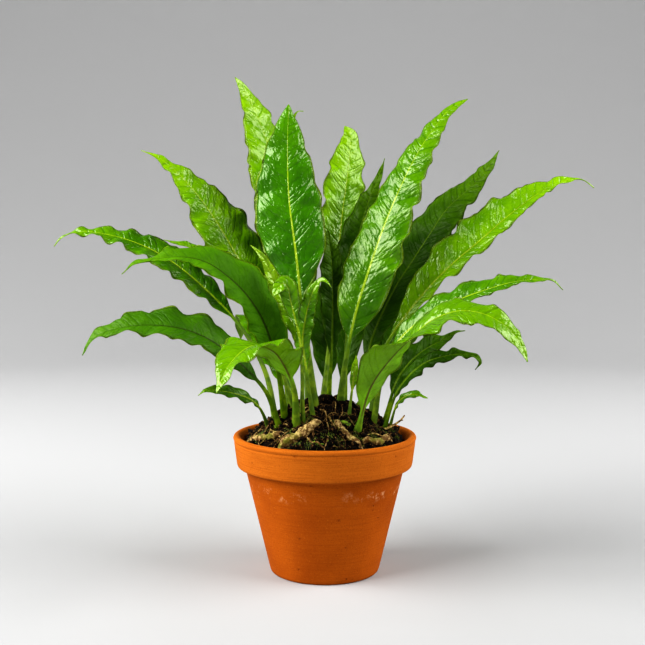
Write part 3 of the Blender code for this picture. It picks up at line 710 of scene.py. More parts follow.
FRONDS = (
    Frond("frond_tall_front", (-8, -14), ((-17, 200, -16), (-22, 245, -13), (-27, 285, -6), (-28, 325, 4),
          (-27, 355, 14)),
          ((0.0, -1.0, 0.1), (-0.1, -1.0, 0.1), (0.1, -1.0, 0.1)),
          half_width=26.0, blade=0.36, widest=0.37, point=0.78, fold=-0.14, beats=5.0, phase=0.4,
          stalk=2.7, skew=-0.05, heel=1.35, age=Age.DEEP, puff=0.45),
    Frond("frond_tall_left", (-12, 10), ((-17, 200, 24), (-30, 282, 42), (-43, 326, 56), (-53, 352, 64),
          (-61, 367, 66), (-67, 375, 64)),
          ((0.35, -1.0, 0.1), (0.62, -0.8, 0.2), (0.7, -0.7, 0.3)),
          half_width=29.0, skew=0.07, fold=-0.12, widest=0.38, point=0.8, phase=1.9, puff=0.8,
          age=Age.LIGHT),
    Frond("frond_upper_left", (-27, 6), ((-32, 160, 12), (-50, 210, 19), (-69, 246, 26), (-86, 274, 31),
          (-103, 296, 35), (-124, 315, 37), (-138, 321, 37)),
          ((0.4, -0.9, 0.1), (0.55, -0.8, 0.25), (0.5, -0.75, 0.45)),
          half_width=24.2, fold=-0.12, blade=0.32, widest=0.38, point=1.4, phase=2.8, skew=0.18, puff=0.8,
          age=Age.LIGHT),
    Frond("frond_far_left", (-38, -2), ((-45, 152, 8), (-62, 185, 16), (-85, 211, 22), (-111, 234, 26),
          (-134, 248, 28), (-160, 257, 30), (-185, 260, 30), (-199, 256, 30), (-205, 249, 30)),
          ((0.5, -0.8, 0.2), (0.4, -0.6, 0.7), (0.1, -0.5, 0.9)),
          half_width=15.0, blade=0.34, widest=0.42, point=1.3, beats=8.0, phase=0.9, age=Age.GROWN),
    Frond("frond_mid_left", (-30, -15), ((-36, 155, -22), (-46, 190, -29), (-57, 209, -34),
          (-71, 224, -38), (-90, 237, -43), (-108, 241, -46), (-124, 240, -48), (-144, 236, -50),
          (-154, 228, -50)),
          ((0.5, -0.9, 0.1), (0.4, -0.75, 0.55), (0.15, -0.4, 0.9)),
          half_width=19.0, blade=0.22, widest=0.30, point=1.3, beats=5.0, phase=3.6, stalk=2.2, skew=0.25,
          age=Age.BROAD_RIBBED, puff=0.3),
    Frond("frond_left_behind", (-24, -2), ((-37, 165, -2), (-62, 215, -4), (-84, 238, -6),
          (-106, 250, -8), (-122, 254, -9)),
          ((0.5, -0.8, 0.2), (0.4, -0.6, 0.6), (0.2, -0.4, 0.9)),
          half_width=11.0, blade=0.40, widest=0.45, point=1.1, wave=1.5, beats=5.0, phase=1.2, stalk=1.5,
          age=Age.GROWN),
    Frond("frond_low_left", (-34, -25), ((-45, 138, -33), (-60, 155, -41), (-83, 175, -50),
          (-104, 185, -55), (-128, 189, -58), (-151, 188, -60), (-172, 182, -60), (-180, 175, -60),
          (-185, 166, -60)),
          ((0.6, -0.7, 0.3), (0.2, -0.6, 0.8), (-0.2, -0.5, 0.85)),
          half_width=16.0, blade=0.22, widest=0.44, wave=1.8, beats=5.0, phase=4.4, skew=0.12,
          age=Age.DARK_RIBBED, puff=0.4),
    Frond("frond_front_left", (-21, -31), ((-23, 137, -37), (-27, 151, -44), (-32, 161, -52),
          (-38, 169, -62), (-50, 174, -80), (-62, 170, -98), (-74, 157, -114), (-83, 137, -125)),
          ((0.15, 1.0, 0.1), (0.05, 0.1, 1.0), (-0.45, -0.75, 0.6)),
          half_width=21.5, blade=0.25, widest=0.43, wave=2.4, beats=5.0, phase=0.7, stalk=2.4,
          age=Age.BROWN_RIBBED, puff=0.4),
    Frond("frond_lowest_left", (-43, -13), ((-49, 124, -20), (-57, 132, -27), (-71, 137, -36),
          (-84, 139, -42), (-91, 139, -45), (-97, 135, -47)),
          ((0.7, -0.5, 0.4), (0.3, -0.6, 0.8), (-0.1, -0.5, 0.9)),
          half_width=6.5, blade=0.22, widest=0.5, wave=1.5, beats=4.0, phase=2.2, stalk=1.5,
          age=Age.GROWN, puff=0.4),
    Frond("frond_young_left", (-17, -22), ((-18, 180, -26), (-25, 195, -28), (-31, 209, -30),
          (-37, 219, -32), (-41, 228, -33), (-45, 238, -35), (-51, 245, -38), (-56, 250, -40)),
          ((0.3, -1.0, 0.1), (0.2, -1.0, 0.1), (0.1, -0.9, 0.3)),
          half_width=7.0, blade=0.32, widest=0.32, point=0.75, wave=1.6, beats=5.0, phase=5.2, stalk=1.4,
          age=Age.YOUNG, puff=0.4),
    Frond("frond_curled_middle", (-16, -30), ((-19, 178, -37), (-23, 196, -39), (-26, 208, -40),
          (-28, 218, -41), (-31, 221, -42), (-35, 218, -44), (-39, 211, -46)),
          ((0.2, -1.0, 0.1), (0.2, -0.9, 0.3), (-0.3, -0.9, 0.4)),
          half_width=6.8, blade=0.45, widest=0.72, point=0.8, wave=1.2, beats=3.0, phase=1.0, stalk=1.3,
          puff=0.2),
    Frond("frond_young_middle", (-9, -26), ((-15, 160, -29), (-17, 178, -31), (-15, 193, -33),
          (-12, 206, -34), (-8, 217, -35), (-3, 223, -36), (1, 223, -38), (5, 218, -40)),
          ((0.3, -0.9, 0.1), (0.4, -0.9, 0.2), (0.1, -0.6, 0.8)),
          half_width=6.8, widest=0.42, wave=1.9, phase=0.2, stalk=1.5, puff=0.4),
    Frond("frond_dark_middle", (3, 2), ((5, 165, 4), (6, 205, 6), (5, 240, 10), (2, 262, 14)),
          ((0.2, -1.0, 0.1), (0.4, -0.9, 0.2), (0.2, -0.9, 0.3)),
          half_width=11.0, blade=0.25, widest=0.5, point=0.9, wave=1.6, beats=5.0, phase=1.4, stalk=1.6,
          age=Age.SHADED),
    Frond("frond_small_middle", (18, -24), ((21, 140, -26), (23, 156, -27), (24, 166, -27)),
          ((0.5, -0.8, 0.1), (0.4, -0.9, 0.2), (0.2, -0.8, 0.4)),
          half_width=3.2, blade=0.4, widest=0.5, point=0.9, wave=0.5, beats=2.0, phase=1.4, stalk=1.2,
          age=Age.YOUNG, puff=0.1),
    Frond("frond_back_middle", (-1, 18), ((6, 200, 42), (13, 272, 62), (17, 302, 70), (19, 321, 76),
          (19, 333, 79), (15, 339, 80)),
          ((0.3, -1.0, 0.1), (0.58, -0.8, 0.2), (0.4, -0.9, 0.3)),
          half_width=18.5, fold=-0.12, blade=0.34, widest=0.56, point=0.65, wave=1.8, beats=7.0,
          phase=2.5, puff=0.7, age=Age.LIGHT),
    Frond("frond_back_right", (15, 14), ((18, 200, 26), (24, 250, 38), (34, 286, 48), (41, 302, 52),
          (45, 315, 54)),
          ((0.1, -1.0, 0.1), (-0.1, -1.0, 0.2), (-0.2, -0.9, 0.4)),
          half_width=15.5, fold=-0.12, blade=0.22, widest=0.46, point=1.35, wave=2.0, phase=5.5,
          age=Age.SHADED),
    Frond("frond_tall_right", (12, -5), ((16, 162, -10), (24, 200, -10), (38, 245, -4), (47, 270, 2),
          (60, 300, 12), (71, 321, 20), (81, 336, 28), (91, 349, 33), (99, 355, 35), (107, 359, 35)),
          ((0.3, -1.0, 0.1), (-0.45, -0.85, 0.25), (-0.5, -0.7, 0.5)),
          half_width=21.0, fold=-0.12, blade=0.19, widest=0.28, point=0.72, wave=2.4, beats=8.0,
          phase=3.1, stalk=2.4, heel=1.4, age=Age.GROWN, puff=0.5),
    Frond("frond_upper_right", (29, 16), ((35, 175, 32), (53, 217, 50), (65, 236, 60), (78, 256, 68),
          (92, 277, 76), (108, 292, 82), (121, 306, 85), (131, 321, 86)),
          ((-0.4, -0.9, 0.1), (-0.5, -0.75, 0.4), (-0.6, -0.6, 0.5)),
          half_width=21.5, fold=-0.12, blade=0.15, widest=0.52, point=0.95, beats=7.0, phase=0.1,
          skew=-0.12, heel=0.65, age=Age.SHADED),
    Frond("frond_far_right", (36, 4), ((42, 163, 8), (53, 184, 11), (66, 202, 13), (80, 219, 15),
          (97, 236, 17), (118, 254, 20), (141, 274, 24), (163, 290, 29), (181, 298, 33), (194, 299, 36),
          (203, 293, 38)),
          ((-0.5, -0.8, 0.2), (-0.55, -0.75, 0.35), (-0.2, -0.6, 0.8)),
          half_width=17.0, blade=0.22, widest=0.50, point=1.6, beats=8.0, phase=1.7, skew=-0.38, puff=0.7,
          age=Age.LIGHT),
    Frond("frond_mid_right", (37, -14), ((44, 150, -18), (59, 180, -24), (80, 197, -30), (103, 209, -35),
          (125, 217, -38), (143, 222, -40), (162, 224, -41), (173, 223, -41), (181, 216, -41)),
          ((-0.4, -0.8, 0.3), (-0.15, -0.6, 0.85), (0.2, -0.5, 0.9)),
          half_width=11.8, blade=0.28, widest=0.42, point=1.2, skew=-0.18, wave=1.2, beats=5.0, phase=4.0,
          age=Age.GROWN),
    Frond("frond_front_right", (24, -36), ((35, 142, -42), (51, 165, -50), (67, 181, -58), (84, 194, -64),
          (102, 200, -70), (120, 198, -76), (137, 189, -82), (149, 175, -87), (155, 161, -90)),
          ((-0.9, 2.7, 0.3), (-0.2, -0.35, 1.0), (0.3, -0.75, 0.6)),
          half_width=20.0, blade=0.06, widest=0.36, point=0.8, wave=2.4, beats=5.0, phase=2.0, stalk=2.4,
          skew=0.2, heel=1.9, age=Age.BROWN_RIBBED, puff=0.4),
    Frond("frond_shaded_right", (46, 8), ((57, 150, 4), (73, 168, 0), (92, 179, -2), (101, 184, -4),
          (107, 185, -5)),
          ((-0.6, -0.6, 0.3), (-0.3, -0.7, 0.6), (0.1, -0.7, 0.7)),
          half_width=12.0, blade=0.24, widest=0.42, point=1.5, wave=2.0, beats=4.5, phase=2.4, stalk=1.6,
          age=Age.SHADED),
    Frond("frond_low_right", (45, -14), ((55, 137, -20), (66, 152, -25), (78, 161, -29), (90, 165, -32),
          (103, 167, -34), (113, 166, -35), (119, 161, -35), (115, 155, -35)),
          ((-0.6, -0.6, 0.4), (-0.3, -0.7, 0.6), (0.1, -0.6, 0.8)),
          half_width=6.4, blade=0.22, widest=0.42, wave=1.8, phase=0.8, stalk=1.5, age=Age.SHADED,
          puff=0.4),
    Frond("frond_lowest_right", (50, 2), ((55, 127, -2), (61, 134, -6), (69, 136, -9), (79, 133, -12)),
          ((-0.6, -0.5, 0.5), (-0.2, -0.6, 0.8), (0.1, -0.6, 0.8)),
          half_width=3.9, blade=0.3, widest=0.5, point=0.8, wave=1.2, beats=3.0, phase=0.8, stalk=1.2,
          puff=0.3),
    Frond("frond_rear_left", (-20, 34), ((-34, 155, 58), (-46, 182, 80), (-56, 196, 100), (-62, 192, 116),
          (-64, 178, 126)),
          ((0.3, -0.9, 0.2), (0.3, -0.8, 0.5), (-0.3, 0.4, 0.9)),
          half_width=17.0, blade=0.14, widest=0.5, phase=0.5),
    Frond("frond_rear_middle", (2, 38), ((2, 165, 58), (4, 200, 80), (8, 214, 100), (12, 208, 116),
          (14, 194, 124)),
          ((0.0, -1.0, 0.2), (0.0, -0.8, 0.5), (0.1, 0.5, 0.9)),
          half_width=18.0, blade=0.14, widest=0.5, phase=2.9, age=Age.SHADED),
    Frond("frond_rear_right", (24, 32), ((38, 150, 56), (52, 176, 76), (66, 188, 98), (76, 184, 116),
          (82, 170, 126)),
          ((-0.3, -0.9, 0.2), (-0.3, -0.8, 0.5), (0.3, 0.4, 0.9)),
          half_width=17.0, blade=0.14, widest=0.5, phase=4.9, age=Age.SHADED),
    Frond("frond_rear_tall", (-13, 26), ((-18, 195, 56), (-21, 250, 72), (-23, 300, 84), (-24, 334, 88),
          (-23, 346, 88), (-20, 350, 88), (-16, 350, 88)),
          ((0.0, -1.0, 0.2), (0.1, -0.9, 0.3), (0.2, -0.9, 0.3)),
          half_width=16.0, blade=0.12, widest=0.5, point=1.4, phase=0.8),
    Frond("frond_rear_upright", (12, 28), ((20, 185, 56), (30, 218, 76), (38, 240, 94), (45, 246, 108),
          (50, 240, 118)),
          ((-0.1, -1.0, 0.2), (-0.2, -0.6, 0.7), (0.2, 0.3, 1.0)),
          half_width=16.0, blade=0.10, widest=0.5, point=0.9, beats=5.0, phase=3.8, age=Age.SHADED),
)


@dataclass
class Soil:
    """The potting soil: a mound that fills the pot, with crumbs and roots on it."""

    edge_height: float = 97.0
    mound_rise: float = 35.0
    mound_radius: float = 66.0
    shoulder_radius: float = 60.3
    foot_radius: float = 34.0
    floor_height: float = 8.6
    surface_rings: int = 58
    turns: int = 150
    roughness: float = 2.2
    crumbs: int = 1500
    crumb_reach: float = 59.0
    crumb_sizes: tuple[float, float] = (0.5, 2.6)
    crumb_dent: float = 0.22
    root_reach: float = 52.0
    root_turns_back: float = 57.0
    root_spans: int = 6
    root_taper: float = 0.55
    seed: int = 11

    def height(self, x: float, y: float) -> float:
        """Height of the smooth mound over the floor, in millimetres."""
        reach = min(math.hypot(x, y) / self.mound_radius, 1.0)
        return self.edge_height + self.mound_rise * math.cos(0.5 * math.pi * reach)

    def surface(self, x: float, y: float) -> float:
        """Height of the rough soil over the floor, in millimetres."""
        lumps = 0.9 * math.sin(x * 0.31 + 1.0) * math.cos(y * 0.27) + 0.6 * math.sin(x * 0.13 - y * 0.41)
        rough = noise.fractal(Vector((x, y, 0.0)) * 0.16, 0.7, 2.1, 5)
        return self.height(x, y) + lumps + self.roughness * rough

    @staticmethod
    def spot(chance: np.random.Generator, reach: float, nearest: float) -> tuple[float, float, float]:
        """A random place on the mound.

        Args:
            chance: The random numbers.
            reach: How far from the pot's axis the place may lie.
            nearest: The least share of that area that it lies outside of.

        Returns:
            The place's x and y and its angle about the pot's axis.
        """
        radius = reach * math.sqrt(chance.uniform(nearest, 1.0))
        angle = chance.uniform(0.0, 2.0 * math.pi)
        return radius * math.cos(angle), radius * math.sin(angle), angle

    def mesh(self) -> bpy.types.Mesh:
        """Turn the mound's section and roughen its top.

        Returns:
            The closed mesh.
        """
        section = [(0.0, self.floor_height), (self.foot_radius, self.floor_height),
                   (self.shoulder_radius, self.edge_height - 1.0)]
        for ring in range(self.surface_rings + 1):
            radius = (self.shoulder_radius - 1.0) * (1.0 - ring / self.surface_rings)
            section.append((radius, self.height(radius, 0.0)))
        body = turned(section, self.turns, closed=False)
        for vert in body.verts:
            x, y, z = vert.co / MM
            if z > self.edge_height and math.hypot(x, y) < self.shoulder_radius - 0.5:
                vert.co.z = self.surface(x, y) * MM
        return to_mesh("soil_mound", body)

    def crumb_mesh(self) -> bpy.types.Mesh:
        """Scatter crumbs and chips over the mound, sunk a little into it.

        Returns:
            All the crumbs as one mesh.
        """
        chance = np.random.default_rng(self.seed)
        body = bmesh.new()
        for _ in range(self.crumbs):
            x, y, _ = self.spot(chance, self.crumb_reach, 0.0)
            size = self.crumb_sizes[0] + self.crumb_sizes[1] * chance.random() ** 4
            length, height = size * chance.uniform(0.8, 2.2), size * chance.uniform(0.5, 0.9)
            stretch = Matrix.Diagonal((length, size, height, 1.0))
            tilts = chance.uniform(-0.7, 0.7, 2).tolist()
            turn = Euler(tilts + [chance.uniform(0.0, 6.3)]).to_matrix().to_4x4()
            spot = Matrix.Translation((x, y, self.surface(x, y) + 0.15 * size))
            made = bmesh.ops.create_icosphere(body, subdivisions=1, radius=1.0,
                                              matrix=Matrix.Scale(MM, 4) @ spot @ turn @ stretch)
            for vert in made["verts"]:
                dent = chance.uniform(-self.crumb_dent, self.crumb_dent, 3).tolist()
                vert.co += Vector(dent) * size * MM
        return to_mesh("soil_crumbs", body)

    def root_lines(self, count: int, radii: tuple[float, float], stride: float, seed: int) -> list["Thread"]:
        """Lay roots over the mound, in loose curls whose ends dip into the soil.

        Args:
            count: How many roots there are.
            radii: The thinnest and the thickest root's radius, in millimetres.
            stride: The mean length of one of a root's spans, in millimetres.
            seed: Sets the random draw.

        Returns:
            The roots' lines.
        """
        chance = np.random.default_rng(seed)
        lines = []
        for _ in range(count):
            x, y, angle = self.spot(chance, self.root_reach, 0.05)
            heading = angle + chance.normal(0.0, 0.9)
            points = []
            for step in range(self.root_spans + 1):
                if math.hypot(x, y) > self.root_turns_back:
                    heading += 1.5
                arch = math.sin(math.pi * step / self.root_spans)
                lift = 0.25 + 1.6 * arch * chance.uniform(0.1, 1.0)
                dips = step in (0, self.root_spans)
                points.append((x, y, self.surface(x, y) + (-1.2 if dips else lift)))
                heading += chance.normal(0.0, 0.45)
                pace = stride * chance.uniform(0.65, 1.35)
                x += pace * math.cos(heading)
                y += pace * math.sin(heading)
            thick = chance.uniform(*radii)
            lines.append(Thread(points, lambda share, thick=thick: thick * (1.0 - self.root_taper * share)))
        return lines


@dataclass(frozen=True)
class Thread:
    """A thin round line through points, whose radius follows the share of its length."""

    points: Sequence[Place]
    radius: Callable[[float], float]


def thread_mesh(name: str, lines: Sequence[Thread], sides: int = 6, step: float = 1.2) -> bpy.types.Mesh:
    """Make thin closed tubes along smooth lines.

    Args:
        name: The mesh's name.
        lines: The lines, in millimetres.
        sides: How many sides the tubes have, an even number.
        step: The spacing of their rings, in millimetres.

    Returns:
        All the tubes as one mesh.
    """
    curve = bpy.data.curves.new(name, "CURVE")
    curve.dimensions = "3D"
    curve.bevel_depth = MM
    curve.bevel_resolution = max(sides // 2 - 1, 0)
    curve.use_fill_caps = True
    for line in lines:
        route = Route(line.points)
        count = max(4, round(route.length / step)) + 1
        shares = np.linspace(0.0, 1.0, count)
        spline = curve.splines.new("POLY")
        spline.points.add(count - 1)
        for point, place, share in zip(spline.points, route.at(shares * route.length), shares):
            point.co = (*(place * MM), 1.0)
            point.radius = line.radius(float(share))
    holder = bpy.data.objects.new(name, curve)
    mesh = bpy.data.meshes.new_from_object(holder)
    bpy.data.objects.remove(holder)
    bpy.data.curves.remove(curve)
    mesh.name = name
    return mesh


def turned(section: Sequence[tuple[float, float]], turns: int, closed: bool = True) -> bmesh.types.BMesh:
    """Spin a section of (radius, height) points about the pot's axis.

    Args:
        section: The section, in millimetres.
        turns: How many steps the full turn has.
        closed: Whether the section's last point joins its first.

    Returns:
        The closed body, with its faces pointing out.
    """
    body = bmesh.new()
    verts = [body.verts.new((radius * MM, 0.0, height * MM)) for radius, height in section]
    follows = verts[1:] + verts[:1] if closed else verts[1:]
    edges = [body.edges.new(pair) for pair in zip(verts, follows)]
    bmesh.ops.spin(body, geom=verts + edges, cent=(0, 0, 0), axis=(0, 0, 1), angle=2.0 * math.pi,
                   steps=turns, use_merge=True, use_duplicate=False)
    bmesh.ops.remove_doubles(body, verts=body.verts, dist=1e-6)
    bmesh.ops.recalc_face_normals(body, faces=body.faces)
    return body


@dataclass
class ClayPot:
    """The clay pot: a tapered body under a heavier rim band, with a drain hole."""

    height: float = 106.0
    rim_radius: float = 70.0
    band_top_radius: float = 69.4
    band_foot_radius: float = 67.2
    band_height: float = 24.5
    body_top_radius: float = 61.0
    base_radius: float = 42.0
    wall: float = 6.5
    floor: float = 8.0
    floor_fillet: float = 3.0
    drain_radius: float = 7.5
    turns: int = 160
    waver: float = 0.10

    def wall_inside(self, height: float) -> float:
        """The inner radius at a height: the body's taper less the wall, wider in the band."""
        foot = self.height - self.band_height
        body = self.base_radius + (self.body_top_radius - self.base_radius) * height / foot
        swell = (self.band_top_radius - self.band_foot_radius) * (height - foot) / self.band_height
        band = self.band_foot_radius + swell
        share = min(max((height - foot + 2.0) / 8.0, 0.0), 1.0)
        return (body - self.wall) + (band - body) * share

    def section(self) -> list[tuple[float, float]]:
        """The pot's section, from the drain hole round the outside and down the inside."""
        top, foot = self.height, self.height - self.band_height
        band_foot, band_top, rim = self.band_foot_radius, self.band_top_radius, self.rim_radius
        outside = [
            (self.drain_radius, 0.0), (self.base_radius - 1.2, 0.0), (self.base_radius, 1.4),
            (self.body_top_radius - 0.4, foot - 2.2), (self.body_top_radius + 0.6, foot - 0.6),
            (band_foot - 2.2, foot), (band_foot - 0.6, foot + 0.7), (band_foot, foot + 2.2),
            (band_top, top - 5.2), (band_top - 0.35, top - 4.2), (rim - 0.1, top - 3.2),
            (rim, top - 2.0), (rim - 0.7, top - 0.7), (rim - 2.2, top),
            (rim - 4.2, top - 0.2), (rim - 5.8, top - 1.6),
        ]
        inside_heights = (top - 6.0, foot + 6.0, foot - 2.0, self.floor + self.floor_fillet)
        inside = [(self.wall_inside(height), height) for height in inside_heights]
        floor_edge = self.wall_inside(self.floor) - self.floor_fillet
        return outside + inside + [(floor_edge, self.floor), (self.drain_radius, self.floor)]

    def soft_section(self, rounds: int = 2, nearest: float = 1.0) -> list[tuple[float, float]]:
        """The section with its corners cut round.

        Args:
            rounds: How many times each corner is cut.
            nearest: The longest cut, in millimetres.

        Returns:
            The softened section.
        """
        points = [np.array(point) for point in self.section()]
        for _ in range(rounds):
            soft = []
            for before, corner, after in zip(points[-1:] + points[:-1], points, points[1:] + points[:1]):
                for neighbour in (before, after):
                    span = np.linalg.norm(neighbour - corner)
                    soft.append(corner + (neighbour - corner) / span * min(0.25 * span, nearest))
            points = soft
        return [(float(radius), float(height)) for radius, height in points]

    def build(self) -> None:
        """Make the pot's piece."""
        body = turned(self.soft_section(), self.turns)
        for vert in body.verts:
            angle = math.atan2(vert.co.y, vert.co.x)
            height = vert.co.z / MM
            ripple = math.sin(2 * angle + 0.6) + 0.6 * math.sin(3 * angle + height * 0.05 + 2.0)
            share = min(max(height / self.height, 0.0), 1.0)
            vert.co.xy *= 1.0 + ripple * self.waver * share / self.rim_radius
        place_piece("clay_pot", to_mesh("clay_pot", body), ClayFinish().make(), ["pot"])


@dataclass
class Rhizome:
    """A knotty stem that lies half sunk in the soil."""

    name: str
    radius: float
    places: tuple[tuple[float, float], ...]

    def line(self, soil: Soil) -> list[Place]:
        """The middle line: it lies on the soil and dips into it at both ends."""
        points = [np.array((x, y, soil.height(x, y) + 0.25 * self.radius)) for x, y in self.places]
        dives = []
        for end, inner in ((points[0], points[1]), (points[-1], points[-2])):
            away = units((end - inner)[None, :])[0]
            dives.append(end + away * 1.9 * self.radius + (0.0, 0.0, -1.7 * self.radius))
        return [tuple(point) for point in [dives[0], *points, dives[1]]]

    def knots(self, share: float) -> float:
        """The knotty radius at a share of the length."""
        swelling = 1.0 + 0.10 * math.sin(19.0 * share) + 0.06 * math.sin(41.0 * share + 1.0)
        return self.radius * swelling * (0.75 + 0.25 * math.sin(math.pi * share))

    def build(self, soil: Soil, bark: bpy.types.Material) -> None:
        """Make the rhizome's piece.

        Args:
            soil: The soil that it lies on.
            bark: Its material.
        """
        mesh = thread_mesh(self.name, [Thread(self.line(soil), self.knots)], sides=18, step=0.7)
        body = bmesh.new()
        body.from_mesh(mesh)
        body.normal_update()
        for vert in body.verts:
            bump = noise.fractal(vert.co / MM * 0.42, 0.8, 2.2, 4)
            vert.co += vert.normal * bump * 0.17 * self.radius * MM
        body.to_mesh(mesh)
        body.free()
        place_piece(self.name.replace("rhizome", "knotty_rhizome"), mesh, bark, [self.name])


RHIZOMES = (
    Rhizome("rhizome_front", 4.0, ((-7, -37), (-14, -42), (-21, -45), (-27, -45))),
    Rhizome("rhizome_middle", 2.6, ((9, -35), (12, -40), (17, -45), (23, -48))),
    Rhizome("rhizome_right", 2.8, ((31, -42), (36, -41), (40, -38), (46, -28))),
    Rhizome("rhizome_left", 2.6, ((-53, -19), (-48, -26), (-41, -32), (-32, -36))),
    Rhizome("rhizome_rear", 3.0, ((-34, 40), (-22, 46), (-8, 50), (4, 48))),
)


class BladeMap:
    """Where the points of one frond's grid lie on it, as arrays with one entry a point.

    spread runs evenly from -1 at the left margin over 0 at the midrib to 1 at the right
    margin. column does so too, but stands closer together at the midrib, and edge is its
    size. share is the share of the frond's length, along that of the blade's, which is
    below 0 on the stalk, and blade_mm the distance from the blade's start.
    """

    crowding: float = 1.4

    def __init__(self, frond: Frond, length: float, distance: np.ndarray, turn: np.ndarray) -> None:
        """Work out each point's place on the frond.

        Args:
            frond: The frond.
            length: Its length in millimetres.
            distance: Each point's distance along it, below 0 in the soil.
            turn: Each point's turn round it, from 0 to 2.
        """
        self.turn = turn
        self.upper = turn <= 1.0
        self.outward = np.where(self.upper, 1.0, -1.0)
        self.spread = np.where(self.upper, 2.0 * turn - 1.0, 3.0 - 2.0 * turn)
        self.column = np.sign(self.spread) * np.abs(self.spread) ** self.crowding
        self.edge = np.abs(self.column)
        self.right = self.column >= 0.0
        self.reached = np.maximum(distance, 0.0)
        self.sunk = np.minimum(distance, 0.0)
        self.share = self.reached / length
        self.along = (self.share - frond.blade) / (1.0 - frond.blade)
        self.on_blade = np.clip(self.along, 0.0, 1.0)
        self.blade_mm = self.along * (1.0 - frond.blade) * length

    def fade(self, rise: float, fall: float) -> np.ndarray:
        """Rise from 0 at the blade's start and fall back to 0 at its tip, at these rates."""
        return np.clip(self.along * rise, 0.0, 1.0) * np.clip((1.0 - self.along) * fall, 0.0, 1.0)


